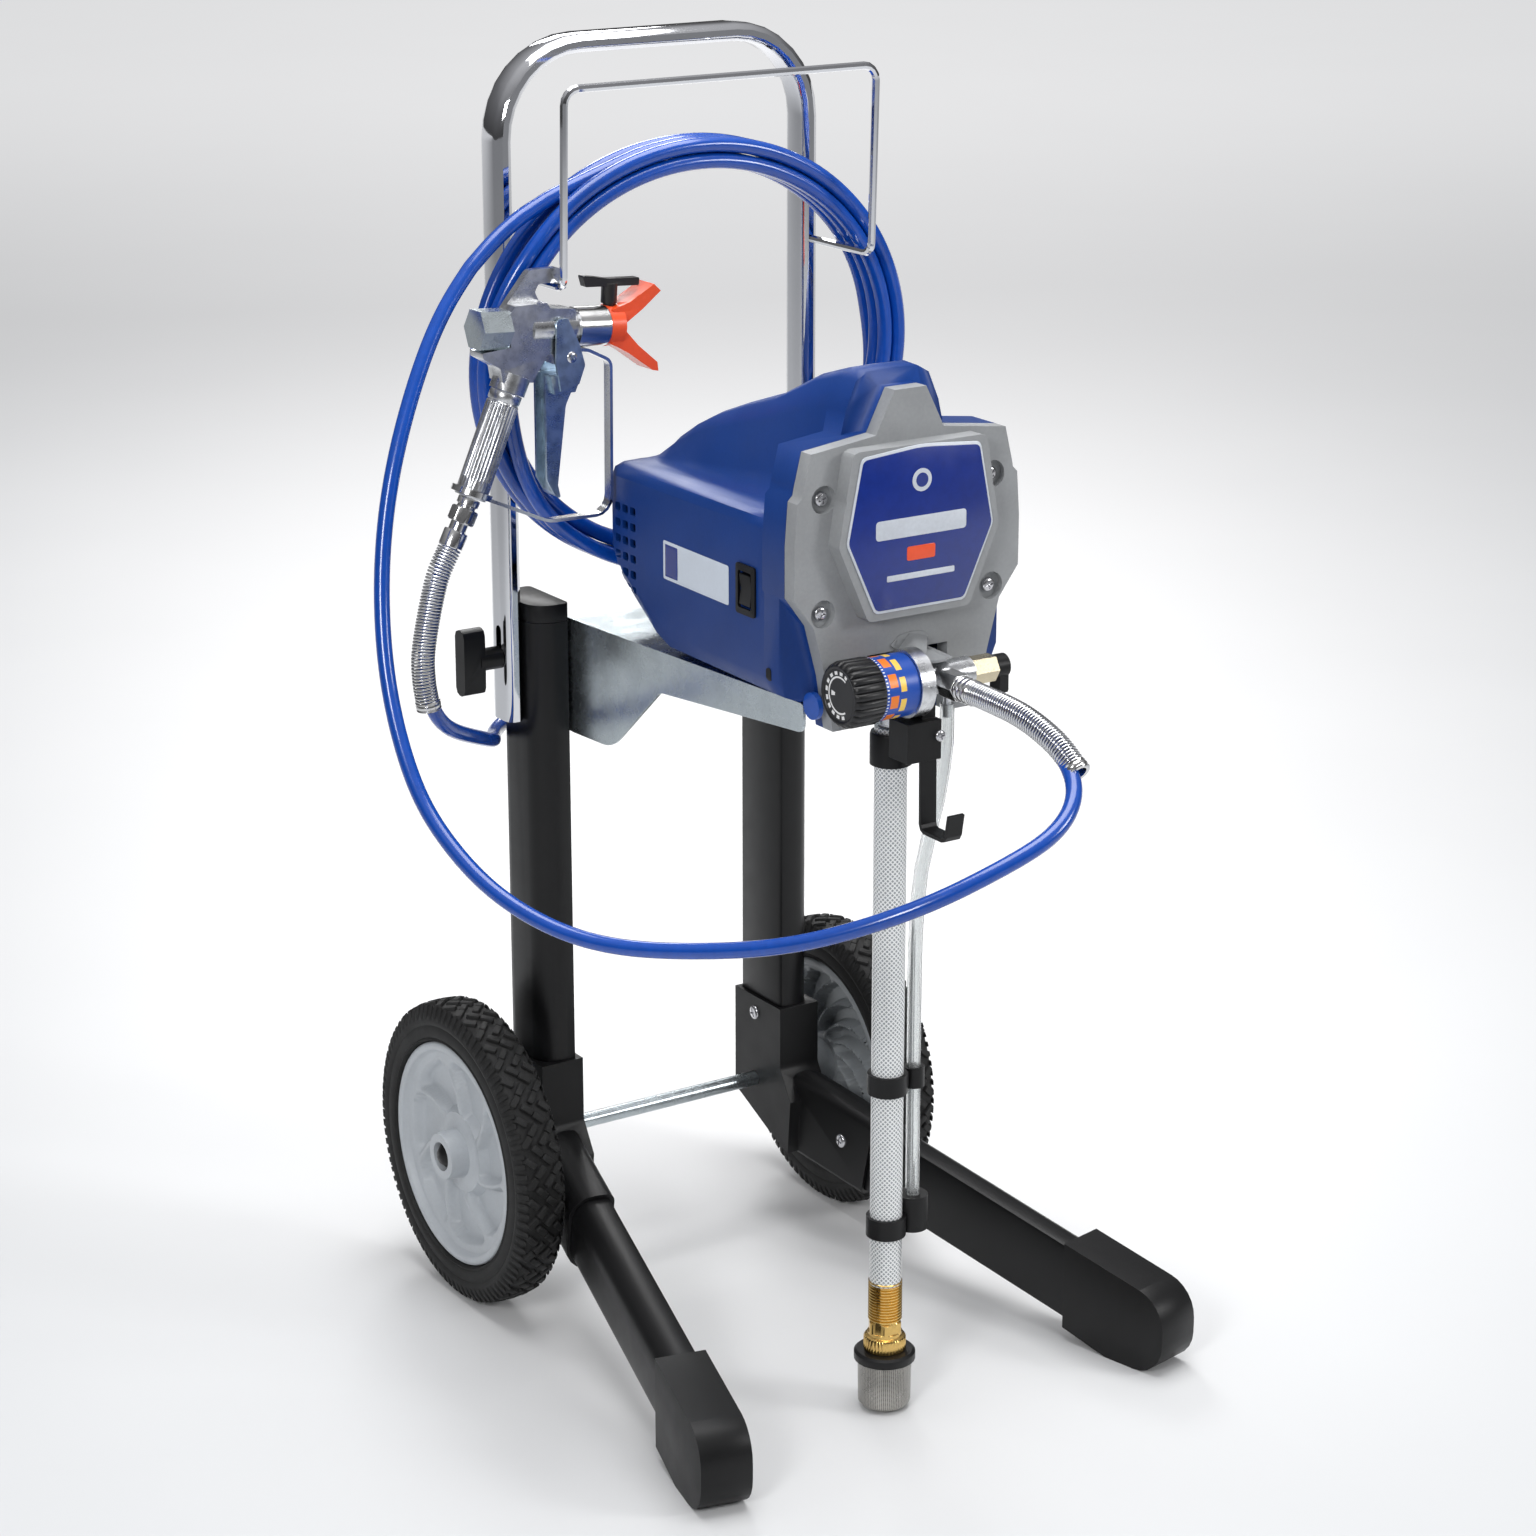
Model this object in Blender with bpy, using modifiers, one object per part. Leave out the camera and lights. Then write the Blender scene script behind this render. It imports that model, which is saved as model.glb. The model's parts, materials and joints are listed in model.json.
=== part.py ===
"""Airless paint sprayer on a two-wheeled cart, at real size: metres, +Z up, the front towards -Y.

Every place below is measured from the axle's middle, straight above the floor: +X to the cart's
right wheel, -Y ahead of the axle, Z from the floor. One empty, axle_datum, carries all the parts.
"""

import math

import bmesh
import bpy
from mathutils import Matrix, Vector

# ---- Driving dimensions -------------------------------------------------------------------
CLEARANCE = 0.0003  # left between pieces that touch
# Wheels and axle
WHEEL_DIAMETER = 0.254
TYRE_WIDTH = 0.042
RIM_RADIUS = 0.094
WHEEL_STEPS = 32
WHEEL_SPACE = 0.025  # between an elbow and its tyre
AXLE_RADIUS = 0.00635
HUB_RADIUS = 0.0195
# Frame tubes: flat on the inner side, rounded on the outer side
POST_GAP = 0.2014  # between the inner faces of the two posts
TUBE_WIDTH = 0.0316
TUBE_DEPTH = 0.0636
TUBE_WALL = 0.002
TUBE_OUTER_CORNER = 0.018
TUBE_INNER_CORNER = 0.004
POST_AHEAD = 0.005  # post centre ahead of the axle
POST_TOP = 0.575
CAP_HEIGHT = 0.0145
ELBOW_WALL = 0.0035
ELBOW_RISE = 0.076  # top of the elbow above the axle
LEG_SPLAY = math.radians(12.5)
FOOT_REACH = 0.443  # foot tip ahead of the axle
FOOT_LENGTH = 0.102
FOOT_WALL = 0.0045
# Handle and hose rack
HANDLE_TUBE_WIDTH = 0.015
HANDLE_TUBE_DEPTH = 0.030
HANDLE_WALL = 0.0015
HANDLE_TOP = 1.0225  # middle of the top bar
HANDLE_END = 0.4932  # lower ends of the handle's legs
HANDLE_CORNER = 0.070
HANDLE_TRAVEL = 0.022
KNOB_HEIGHT = 0.545  # clamp knobs above the floor
STUD_RADIUS = 0.0035
RACK_WIRE = 0.00315  # radius
RACK_ARM_HEIGHT = 0.8540
RACK_REACH = 0.104  # front of the rack ahead of the axle
RACK_TOP = 1.002
# Shelf
SHELF_TOP = 0.577
SHELF_SHEET = 0.0025
SHELF_REAR = 0.040
SHELF_FRONT = 0.331
SHELF_FRONT_HALF = 0.078
# Casing
SHROUD_FRONT = 0.343
SHROUD_WALL = 0.003
SHROUD_BOTTOM = 0.5785
COLLAR_START = 0.314
LIP_START = 0.3335
COVER_BASE = 0.0127
COVER_RAISE = 0.014
COVER_WALL = 0.003
SCREW_HEAD = 0.0055  # radius
# Switch
SWITCH_AHEAD = 0.290
SWITCH_HEIGHT = 0.656
ROCKER_LENGTH = 0.024
ROCKER_WIDTH = 0.0145
# Drive
MOTOR_RADIUS = 0.045
MOTOR_BORE = 0.034
MOTOR_REAR = 0.135
MOTOR_LENGTH = 0.105
MOTOR_LIFT = 0.0235  # motor can above the casing's floor
ROTOR_RADIUS = 0.030
SHAFT_RADIUS = 0.004
PINION_RADIUS = 0.008
GEAR_RADIUS = 0.030
GEAR_AHEAD = 0.294
GEAR_WIDTH = 0.012
CRANK_OFFSET = 0.009
ROD_RADIUS = 0.0055
PUMP_AHEAD = 0.328
PUMP_TOP = 0.655
# Hydraulics across the front, on one line along X
MANIFOLD_AHEAD = 0.383
MANIFOLD_HEIGHT = 0.5955
MANIFOLD_RADIUS = 0.012
KNOB_RADIUS = 0.025
KNOB_LENGTH = 0.0265
SCALE_RADIUS = 0.0235
SCALE_LENGTH = 0.0294
FLANGE_RADIUS = 0.0255
SPINDLE_RADIUS = 0.005
VALVE_RADIUS = 0.011
LEVER_LENGTH = 0.0205
OUTLET_X = 0.006
# Suction and drain
SUCTION_X = -0.014
SUCTION_AHEAD = 0.356
SUCTION_RADIUS = 0.0125
SUCTION_WALL = 0.003
SUCTION_TOP = 0.5555
SUCTION_END = 0.104
DRAIN_RADIUS = 0.0055
DRAIN_WALL = 0.0018
TUBE_SPACE = 0.0065  # between the suction tube and the drain tube
STRAINER_GROUND = 0.003
# Hose
HOSE_RADIUS = 0.006
GUARD_RADIUS = 0.0093
COIL_AHEAD = 0.063
COIL_OVERHANG = 0.0275  # inner edge of the coil outside the rack's arms
COIL_RISE = 0.146  # inner half height
COIL_THICKNESS = 0.030  # radial
COIL_WIDTH = 0.038  # fore and aft
COIL_STEPS = 36
# Spray gun, which hangs flat in one plane
GUN_AHEAD = 0.098
GUN_THICKNESS = 0.020
GRIP_RADIUS = 0.0125
BARREL_RADIUS = 0.0120
TIP_RADIUS = 0.0045
TIP_COLLAR = 0.0062  # radius

# ---- Sizes worked out from them -----------------------------------------------------------
WHEEL_RADIUS = WHEEL_DIAMETER / 2
AXLE_Y = (FOOT_REACH - WHEEL_RADIUS) / 2  # puts the origin under the middle of the cart
POST_X = (POST_GAP + TUBE_WIDTH) / 2
POST_OUTER = POST_GAP / 2 + TUBE_WIDTH
ELBOW_OUTER = POST_OUTER + ELBOW_WALL
ELBOW_TOP = WHEEL_RADIUS + ELBOW_RISE
HANDLE_X = POST_OUTER + CLEARANCE + HANDLE_TUBE_WIDTH / 2
TYRE_X = ELBOW_OUTER + WHEEL_SPACE + TYRE_WIDTH / 2
LEG_AXIS_TOP = WHEEL_RADIUS - 0.0117  # leg axis height where it crosses the post axis
FOOT_AXIS = 0.0281  # leg axis height at the foot's tip
FOOT_CORNER = (TUBE_WIDTH / 2 + FOOT_WALL) * math.sin(LEG_SPLAY)
LEG_RUN = (FOOT_REACH - FOOT_CORNER - POST_AHEAD) / math.cos(LEG_SPLAY)
LEG_DROP = math.atan((LEG_AXIS_TOP - FOOT_AXIS) / LEG_RUN)
POST_BOTTOM = WHEEL_RADIUS + AXLE_RADIUS + 0.0117
SHELF_HALF = POST_GAP / 2 - CLEARANCE  # outer face of the flanges where they meet the posts
CASE_FLOOR = SHROUD_BOTTOM + SHROUD_WALL
MOTOR_HEIGHT = CASE_FLOOR + MOTOR_LIFT + MOTOR_RADIUS
GEAR_HEIGHT = MOTOR_HEIGHT + PINION_RADIUS + GEAR_RADIUS + 0.0006
COIL_INNER_X = HANDLE_X + COIL_OVERHANG
COIL_SAG = math.sqrt(1 - ((HANDLE_X + RACK_WIRE) / COIL_INNER_X) ** 2)
COIL_HEIGHT = RACK_ARM_HEIGHT + RACK_WIRE + CLEARANCE - COIL_RISE * COIL_SAG
DRAIN_X = SUCTION_X + SUCTION_RADIUS + TUBE_SPACE + DRAIN_RADIUS
BORE_RADIUS = SUCTION_RADIUS - SUCTION_WALL
SIDE_SHIFT = HANDLE_X - 0.1401  # how far the hose's side run follows the handle
PLANES = {  # local x, y and z of a flat outline, as axes of the cart
    "XY": Matrix(((1, 0, 0), (0, 1, 0), (0, 0, 1))),
    "XZ": Matrix(((1, 0, 0), (0, 0, -1), (0, 1, 0))),
    "YZ": Matrix(((0, 0, 1), (1, 0, 0), (0, 1, 0))),
}


# ---- Scene ---------------------------------------------------------------------------------
def clear_scene():
    for old in list(bpy.data.objects):
        bpy.data.objects.remove(old, do_unlink=True)


clear_scene()
PARTS = bpy.data.collections.new("paint_sprayer")
CUTTERS = bpy.data.collections.new("cutters")
for group in (PARTS, CUTTERS):
    bpy.context.scene.collection.children.link(group)
CUTTERS.hide_render = True
DATUM = bpy.data.objects.new("axle_datum", None)
DATUM.location = (0, AXLE_Y, 0)
PARTS.objects.link(DATUM)


def material(name, colour, roughness, metallic=0.0):
    made = bpy.data.materials.new(name)
    made.use_nodes = True
    shader = made.node_tree.nodes["Principled BSDF"]
    shader.inputs["Base Color"].default_value = (*colour, 1)
    shader.inputs["Roughness"].default_value = roughness
    shader.inputs["Metallic"].default_value = metallic
    return made


BLACK_COAT = material("black_powder_coat", (0.012, 0.012, 0.013), 0.45)
BLACK_PLASTIC = material("black_plastic", (0.015, 0.015, 0.016), 0.5)
RUBBER = material("tyre_rubber", (0.02, 0.02, 0.02), 0.85)
HUB_GREY = material("hub_grey_plastic", (0.52, 0.55, 0.57), 0.45)
CHROME = material("chrome", (0.8, 0.8, 0.82), 0.08, 1.0)
ZINC = material("zinc_plate", (0.55, 0.6, 0.62), 0.35, 1.0)
SHROUD_BLUE = material("shroud_blue_plastic", (0.015, 0.075, 0.32), 0.45)
COVER_GREY = material("cover_grey_plastic", (0.36, 0.37, 0.38), 0.55)
STEEL = material("steel", (0.5, 0.5, 0.52), 0.35, 1.0)
ALUMINIUM = material("cast_aluminium", (0.62, 0.63, 0.65), 0.4, 1.0)
BRASS = material("brass", (0.65, 0.42, 0.12), 0.3, 1.0)
HOSE_BLUE = material("hose_blue_plastic", (0.01, 0.1, 0.5), 0.35)
CLEAR_TUBE = material("clear_tube_plastic", (0.75, 0.78, 0.8), 0.2)
GUARD_ORANGE = material("guard_orange_plastic", (0.75, 0.1, 0.02), 0.4)
TRIGGER_STEEL = material("trigger_steel", (0.25, 0.36, 0.45), 0.35, 1.0)


# ---- Modelling helpers ----------------------------------------------------------------------
def finish(obj, surface, centre=(0, 0, 0), turn=None, parent=None):
    """Hangs an object in the parts collection at its place, with its material."""
    PARTS.objects.link(obj)
    obj.parent = parent or DATUM
    obj.location = centre
    if turn is not None:
        obj.rotation_euler = turn.to_euler()
    obj.data.materials.append(surface)
    return obj


def mesh_from(name, bm):
    mesh = bpy.data.meshes.new(name)
    bm.to_mesh(mesh)
    bm.free()
    return bpy.data.objects.new(name, mesh)


def smooth(obj):
    obj.data.shade_smooth()
    obj.data.set_sharp_from_angle(angle=math.radians(35))
    return obj


def box(name, size, centre, surface, bevel=0.0, turn=None):
    bm = bmesh.new()
    bmesh.ops.create_cube(bm, size=1, matrix=Matrix.Diagonal((*size, 1)))
    obj = finish(mesh_from(name, bm), surface, centre, turn)
    if bevel:
        round_edges(obj, bevel)
    return obj


def round_edges(obj, width, segments=2):
    modifier = obj.modifiers.new("rounded", "BEVEL")
    modifier.width = width
    modifier.segments = segments
    modifier.limit_method = "ANGLE"
    modifier.angle_limit = math.radians(40)


def facing(direction):
    """Rotation that turns local +Z to the direction."""
    return Vector(direction).to_track_quat("Z", "X").to_matrix()


def cylinder(name, radius, length, centre, direction, surface, sides=24):
    bm = bmesh.new()
    bmesh.ops.create_cone(
        bm, cap_ends=True, segments=sides, radius1=radius, radius2=radius, depth=length
    )
    return smooth(finish(mesh_from(name, bm), surface, centre, facing(direction)))


def turned(name, profile, centre, direction, surface, steps=28, closed=False):
    """A profile of (radius, height) points turned about its height axis, outer side top to bottom."""
    bm = bmesh.new()
    points = [bm.verts.new((radius, 0, height)) for radius, height in profile]
    pairs = list(zip(points, points[1:]))
    if closed:
        pairs.append((points[-1], points[0]))
    for pair in pairs:
        bm.edges.new(pair)
    obj = finish(mesh_from(name, bm), surface, centre, facing(direction))
    screw = obj.modifiers.new("turned", "SCREW")
    screw.steps = screw.render_steps = steps
    screw.use_merge_vertices = True
    screw.merge_threshold = 0.00001
    screw.use_smooth_shade = True
    return obj


def rounded(corners, steps=4, closed=True):
    """A polyline's points with each corner turned into an arc; a corner is (point, radius)."""
    points = [Vector(point).to_3d() for point, _ in corners]
    out = []
    for index, (_, radius) in enumerate(corners):
        at = points[index]
        count = steps if radius > 0.006 else min(steps, 2)
        if radius <= 0 or (not closed and index in (0, len(corners) - 1)):
            out.append(at)
            continue
        back = (points[index - 1] - at).normalized()
        ahead = (points[(index + 1) % len(points)] - at).normalized()
        between = back.angle(ahead)
        centre = at + (back + ahead).normalized() * radius / math.sin(between / 2)
        start = at + back * radius / math.tan(between / 2)
        for step in range(count + 1):
            swing = (math.pi - between) * step / count
            out.append(centre + (start - centre) * math.cos(swing) - back * radius * math.sin(swing))
    return out


def plate(name, loops, thickness, centre, surface, plane="XZ", turn=None):
    """Flat outlines in one plane, filled and given a thickness; later loops are holes."""
    curve = bpy.data.curves.new(name, "CURVE")
    curve.dimensions = "2D"
    curve.fill_mode = "BOTH"
    curve.extrude = thickness / 2
    for loop in loops:
        spline = curve.splines.new("POLY")
        spline.points.add(len(loop) - 1)
        spline.use_cyclic_u = True
        for point, spot in zip(spline.points, loop):
            point.co = (spot[0], spot[1], 0, 1)
    frame = PLANES[plane] if turn is None else turn @ PLANES[plane]
    return to_mesh(finish(bpy.data.objects.new(name, curve), surface, centre, frame))


def tube(name, points, radius, surface, resolution=2, centre=(0, 0, 0), profile=None):
    """A round bar along points; profile replaces the round section by a curve object."""
    curve = bpy.data.curves.new(name, "CURVE")
    curve.dimensions = "3D"
    curve.use_fill_caps = True
    if profile is None:
        curve.bevel_depth = radius
        curve.bevel_resolution = resolution
    else:
        curve.bevel_mode = "OBJECT"
        curve.bevel_object = profile
    spline = curve.splines.new("POLY")
    spline.points.add(len(points) - 1)
    for point, spot in zip(spline.points, points):
        point.co = (*spot, 1)
    return to_mesh(finish(bpy.data.objects.new(name, curve), surface, centre))


def to_mesh(curve_object):
    """Swaps a curve object for the same shape as a welded mesh, so that it can be cut and joined."""
    bpy.context.view_layer.update()
    graph = bpy.context.evaluated_depsgraph_get()
    mesh = bpy.data.meshes.new_from_object(curve_object.evaluated_get(graph))
    bm = bmesh.new()
    bm.from_mesh(mesh)
    bmesh.ops.remove_doubles(bm, verts=bm.verts, dist=0.00001)
    bmesh.ops.recalc_face_normals(bm, faces=bm.faces)
    bm.to_mesh(mesh)
    bm.free()
    name, parent = curve_object.name, curve_object.parent
    place = curve_object.matrix_world.copy()
    bpy.data.objects.remove(curve_object)
    obj = bpy.data.objects.new(name, mesh)
    obj.name = name
    PARTS.objects.link(obj)
    obj.parent = parent
    obj.matrix_world = place
    return smooth(obj)


def helper(obj):
    """Moves an object to the cutters, where it shapes other parts and isn't one itself."""
    PARTS.objects.unlink(obj)
    CUTTERS.objects.link(obj)
    obj.hide_render = True
    obj.display_type = "WIRE"
    return obj


def combine(target, other, operation="DIFFERENCE"):
    modifier = target.modifiers.new(other.name, "BOOLEAN")
    modifier.operation = operation
    modifier.solver = "EXACT"
    modifier.object = other if other.hide_render else helper(other)
    return target


def join(target, *others):
    for other in others:
        combine(target, other, "UNION")
    return target


def cut(target, *others):
    for other in others:
        combine(target, other)
    return target


def both_sides():
    return (("left", -1), ("right", 1))


def eased(value):
    value = min(max(value, 0.0), 1.0)
    return value * value * (3 - 2 * value)


def smooth_route(knots, spacing):
    """Points along a smooth curve through the knots, about one spacing apart."""
    knots = [Vector(knot) for knot in knots]
    padded = [2 * knots[0] - knots[1], *knots, 2 * knots[-1] - knots[-2]]
    out = []
    for a, b, c, d in zip(padded, padded[1:], padded[2:], padded[3:]):
        steps = max(1, round((c - b).length / spacing))
        for step in range(steps):
            t = step / steps
            out.append(
                0.5 * (2 * b + (c - a) * t + (2 * a - 5 * b + 4 * c - d) * t**2
                       + (3 * b - a - 3 * c + d) * t**3)
            )
    return [*out, knots[-1]]


# ---- Frame ---------------------------------------------------------------------------------
def section(side, grow=0.0):
    """Outline of the frame tube, grown on all sides; side says where its rounded side points."""
    width, depth = TUBE_WIDTH / 2 + grow, TUBE_DEPTH / 2 + grow
    inner, outer = TUBE_INNER_CORNER + max(grow, -0.001), TUBE_OUTER_CORNER + grow
    corners = [
        ((-side * width, -depth), inner), ((side * width, -depth), outer),
        ((side * width, depth), outer), ((-side * width, depth), inner),
    ]
    return rounded(corners, steps=5)


def leg_frame(side):
    """Local x across, y up and z along a leg, as axes of the cart."""
    splay = side * LEG_SPLAY
    across = Vector((math.cos(splay), math.sin(splay), 0))
    level = math.cos(LEG_DROP)
    along = Vector((math.sin(splay) * level, -math.cos(splay) * level, -math.sin(LEG_DROP)))
    return Matrix((across, along.cross(across), along)).transposed()


def along_leg(side, distance):
    top = Vector((side * POST_X, -POST_AHEAD, LEG_AXIS_TOP))
    return top + leg_frame(side).col[2] * distance


def bar(name, loops, low, high, side, surface):
    """An upright frame-tube shape between two heights, on a post's axis."""
    centre = (side * POST_X, -POST_AHEAD, (low + high) / 2)
    return plate(name, loops, high - low, centre, surface, "XY")


def leg_bar(name, loops, start, end, side, surface):
    """A frame-tube shape between two distances along a leg's axis."""
    middle = along_leg(side, (start + end) / 2)
    return plate(name, loops, end - start, middle, surface, "XY", leg_frame(side))


LEG_START = 0.050  # along the leg's axis, from the post's axis
SOCKET_END = 0.127
LEG_END = 0.405


def make_posts():
    for label, side in both_sides():
        hollow = section(side, -TUBE_WALL)
        bar(f"post_{label}", [section(side), hollow], POST_BOTTOM, POST_TOP, side, BLACK_COAT)
        low = POST_TOP + CLEARANCE
        cap = bar(f"post_cap_{label}", [section(side)], low, low + CAP_HEIGHT, side, BLACK_PLASTIC)
        round_edges(cap, 0.004)
        plug = bar(f"cap_plug_{label}", [section(side, -TUBE_WALL - CLEARANCE)], POST_TOP - 0.015,
                   low + 0.004, side, BLACK_PLASTIC)
        join(cap, plug)


def make_elbow(label, side):
    """The moulded corner that holds a post, the axle and a leg."""
    rear = TUBE_DEPTH / 2 + ELBOW_WALL - POST_AHEAD
    front = rear - TUBE_DEPTH - 2 * ELBOW_WALL
    hub = WHEEL_RADIUS
    knuckle = rounded([
        ((rear, ELBOW_TOP), 0.0), ((rear, hub - 0.017), 0.010), ((-0.020, hub - 0.040), 0.010),
        ((-0.052, hub - 0.052), 0.0), ((-0.056, hub - 0.004), 0.0),
        ((front, hub + 0.022), 0.010), ((front, ELBOW_TOP), 0.0),
    ])
    centre = (side * POST_X, 0, 0)
    width = TUBE_WIDTH + 2 * ELBOW_WALL
    elbow = plate(f"elbow_{label}", [knuckle], width, centre, BLACK_PLASTIC, "YZ")
    grown = section(side, ELBOW_WALL)
    join(elbow, leg_bar(f"socket_{label}", [grown], 0.032, SOCKET_END, side, BLACK_PLASTIC))
    fit = section(side, CLEARANCE)
    low = POST_BOTTOM - CLEARANCE
    axle_hole = (side * POST_X, 0, hub)
    cut(
        elbow,
        bar(f"post_hole_{label}", [fit], low, ELBOW_TOP + 0.02, side, BLACK_COAT),
        leg_bar(f"leg_hole_{label}", [fit], LEG_START - CLEARANCE, LEG_END, side, BLACK_COAT),
        cylinder(f"axle_hole_{label}", AXLE_RADIUS + CLEARANCE, 0.1, axle_hole, (1, 0, 0), STEEL, 20),
    )


def make_foot(label, side):
    """A moulded shoe on the leg's end, with a flat sole on the floor."""
    drop = math.tan(LEG_DROP)
    seam = LEG_RUN - FOOT_LENGTH
    half = (TUBE_DEPTH / 2 + FOOT_WALL) / math.cos(LEG_DROP)

    def axis(run):
        return LEG_AXIS_TOP - run * drop

    touch = (LEG_AXIS_TOP - half) / drop
    outline = rounded([
        ((seam, axis(seam) - half), 0.0), ((touch - 0.012, 0.0), 0.004), ((LEG_RUN, 0.0), 0.028),
        ((LEG_RUN, axis(LEG_RUN) + half), 0.030), ((seam, axis(seam) + half), 0.0),
    ], steps=6)
    swing = Matrix.Rotation(side * LEG_SPLAY + math.pi, 3, "Z")
    centre = (side * POST_X, -POST_AHEAD, 0)
    width = TUBE_WIDTH + 2 * FOOT_WALL
    foot = plate(f"foot_{label}", [outline], width, centre, BLACK_PLASTIC, "YZ", swing)
    round_edges(foot, 0.004, 2)
    fit = section(side, CLEARANCE)
    end = LEG_END + CLEARANCE
    cut(foot, leg_bar(f"shoe_hole_{label}", [fit], 0.3, end, side, BLACK_COAT))


def make_legs():
    for label, side in both_sides():
        make_elbow(label, side)
        hollow = section(side, -TUBE_WALL)
        leg_bar(f"leg_{label}", [section(side), hollow], LEG_START, LEG_END, side, BLACK_COAT)
        make_foot(label, side)


def make_shelf():
    """A pressed steel tray on the posts, with a deep flange down each side."""
    back, front = 0.018, -SHELF_FRONT - 0.004
    half, nose = SHELF_HALF, SHELF_FRONT_HALF
    inner_half, inner_nose = half - SHELF_SHEET, nose - SHELF_SHEET
    tray = [(-half, -SHELF_REAR), (half, -SHELF_REAR), (nose, -SHELF_FRONT), (-nose, -SHELF_FRONT)]
    middle = (0, 0, SHELF_TOP - SHELF_SHEET / 2)
    shelf = plate("shelf_bracket", [tray], SHELF_SHEET, middle, ZINC, "XY")
    lobe = SHELF_TOP - 0.094
    profile = rounded([
        ((back, SHELF_TOP), 0.0), ((back, lobe), 0.010), ((-0.092, lobe), 0.032),
        ((-0.1570, SHELF_TOP - 0.0335), 0.010), ((front, SHELF_TOP - 0.0225), 0.007),
        ((front, SHELF_TOP), 0.003),
    ])
    for label, side in both_sides():
        strip = [
            (side * half, back), (side * half, -SHELF_REAR), (side * nose, -SHELF_FRONT),
            (side * nose, front - 0.002), (side * inner_nose, front - 0.002),
            (side * inner_nose, -SHELF_FRONT), (side * inner_half, -SHELF_REAR), (side * inner_half, back),
        ]
        flange = plate(f"flange_{label}", [strip], 0.2, (0, 0, SHELF_TOP - 0.09), ZINC, "XY")
        trim = plate(f"flange_trim_{label}", [profile], 0.08, (side * 0.09, 0, 0), ZINC, "YZ")
        combine(flange, trim, "INTERSECT")
        join(shelf, flange)


# ---- Wheels --------------------------------------------------------------------------------
def make_wheels():
    half = TYRE_WIDTH / 2
    outer = WHEEL_RADIUS
    tyre = [
        (outer - 0.013, half), (outer - 0.004, half - 0.0045), (outer, half - 0.012),
        (outer, -half + 0.012), (outer - 0.004, -half + 0.0045), (outer - 0.013, -half),
        (RIM_RADIUS + CLEARANCE, -half), (RIM_RADIUS + CLEARANCE, half),
    ]
    bore = AXLE_RADIUS + CLEARANCE
    inboard = -(TYRE_X - ELBOW_OUTER - 0.001)
    boss = half + 0.0077
    rim = [
        (RIM_RADIUS, half + 0.0015), (RIM_RADIUS, -half), (RIM_RADIUS - 0.004, -half),
        (RIM_RADIUS - 0.006, 0.008), (0.031, 0.008), (HUB_RADIUS, -half), (HUB_RADIUS, inboard),
        (bore, inboard), (bore, half - 0.004), (0.0128, half - 0.004), (0.0128, boss - 0.002),
        (0.024, boss - 0.002), (0.028, boss), (0.031, boss - 0.001), (0.034, 0.013),
        (RIM_RADIUS - 0.014, 0.013), (RIM_RADIUS - 0.006, half + 0.0015),
    ]
    seat = half - 0.004 + CLEARANCE
    cap = [
        (0, seat + 0.013), (0.006, seat + 0.0115), (0.011, seat + 0.006), (0.011, seat),
        (bore, seat), (bore, seat + 0.006), (0, seat + 0.006),
    ]
    for label, side in both_sides():
        centre, out = (side * TYRE_X, 0, WHEEL_RADIUS), (side, 0, 0)
        turned(f"tyre_{label}", tyre, centre, out, RUBBER, steps=WHEEL_STEPS, closed=True)
        turned(f"wheel_rim_{label}", rim, centre, out, HUB_GREY, steps=WHEEL_STEPS, closed=True)
        turned(f"hub_cap_{label}", cap, centre, out, BLACK_PLASTIC, steps=20)
    length = 2 * (TYRE_X + seat + 0.0055)
    cylinder("axle", AXLE_RADIUS, length, (0, 0, WHEEL_RADIUS), (1, 0, 0), ZINC, 20)


# ---- Handle --------------------------------------------------------------------------------
def sweep(name, outline, path, normal, surface, closed=False):
    """An outline of (in-plane, out-of-plane) points carried along a flat path."""
    bm = bmesh.new()
    normal = Vector(normal)
    rings = []
    for index, at in enumerate(path):
        before = path[index - 1] if index or closed else at
        after = path[(index + 1) % len(path)] if index + 1 < len(path) or closed else at
        across = (after - before).normalized().cross(normal)
        ring = [bm.verts.new(at + across * u + normal * v) for u, v in outline]
        rings.append(ring)
    pairs = list(zip(rings, rings[1:]))
    if closed:
        pairs.append((rings[-1], rings[0]))
    for near, far in pairs:
        for index in range(len(outline)):
            after = (index + 1) % len(outline)
            bm.faces.new((near[index], near[after], far[after], far[index]))
    if not closed:
        bm.faces.new(rings[0])
        bm.faces.new(rings[-1])
    bmesh.ops.recalc_face_normals(bm, faces=bm.faces)
    return smooth(finish(mesh_from(name, bm), surface))


def pill(half_width, half_depth, steps=5):
    """A closed outline with two straight sides and round ends, as (x, y) points."""
    out = []
    straight = half_depth - half_width
    for sign in (1, -1):
        for step in range(steps + 1):
            angle = math.pi * step / steps
            out.append((sign * half_width * math.cos(angle), sign * (straight + half_width * math.sin(angle))))
    return out


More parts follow.
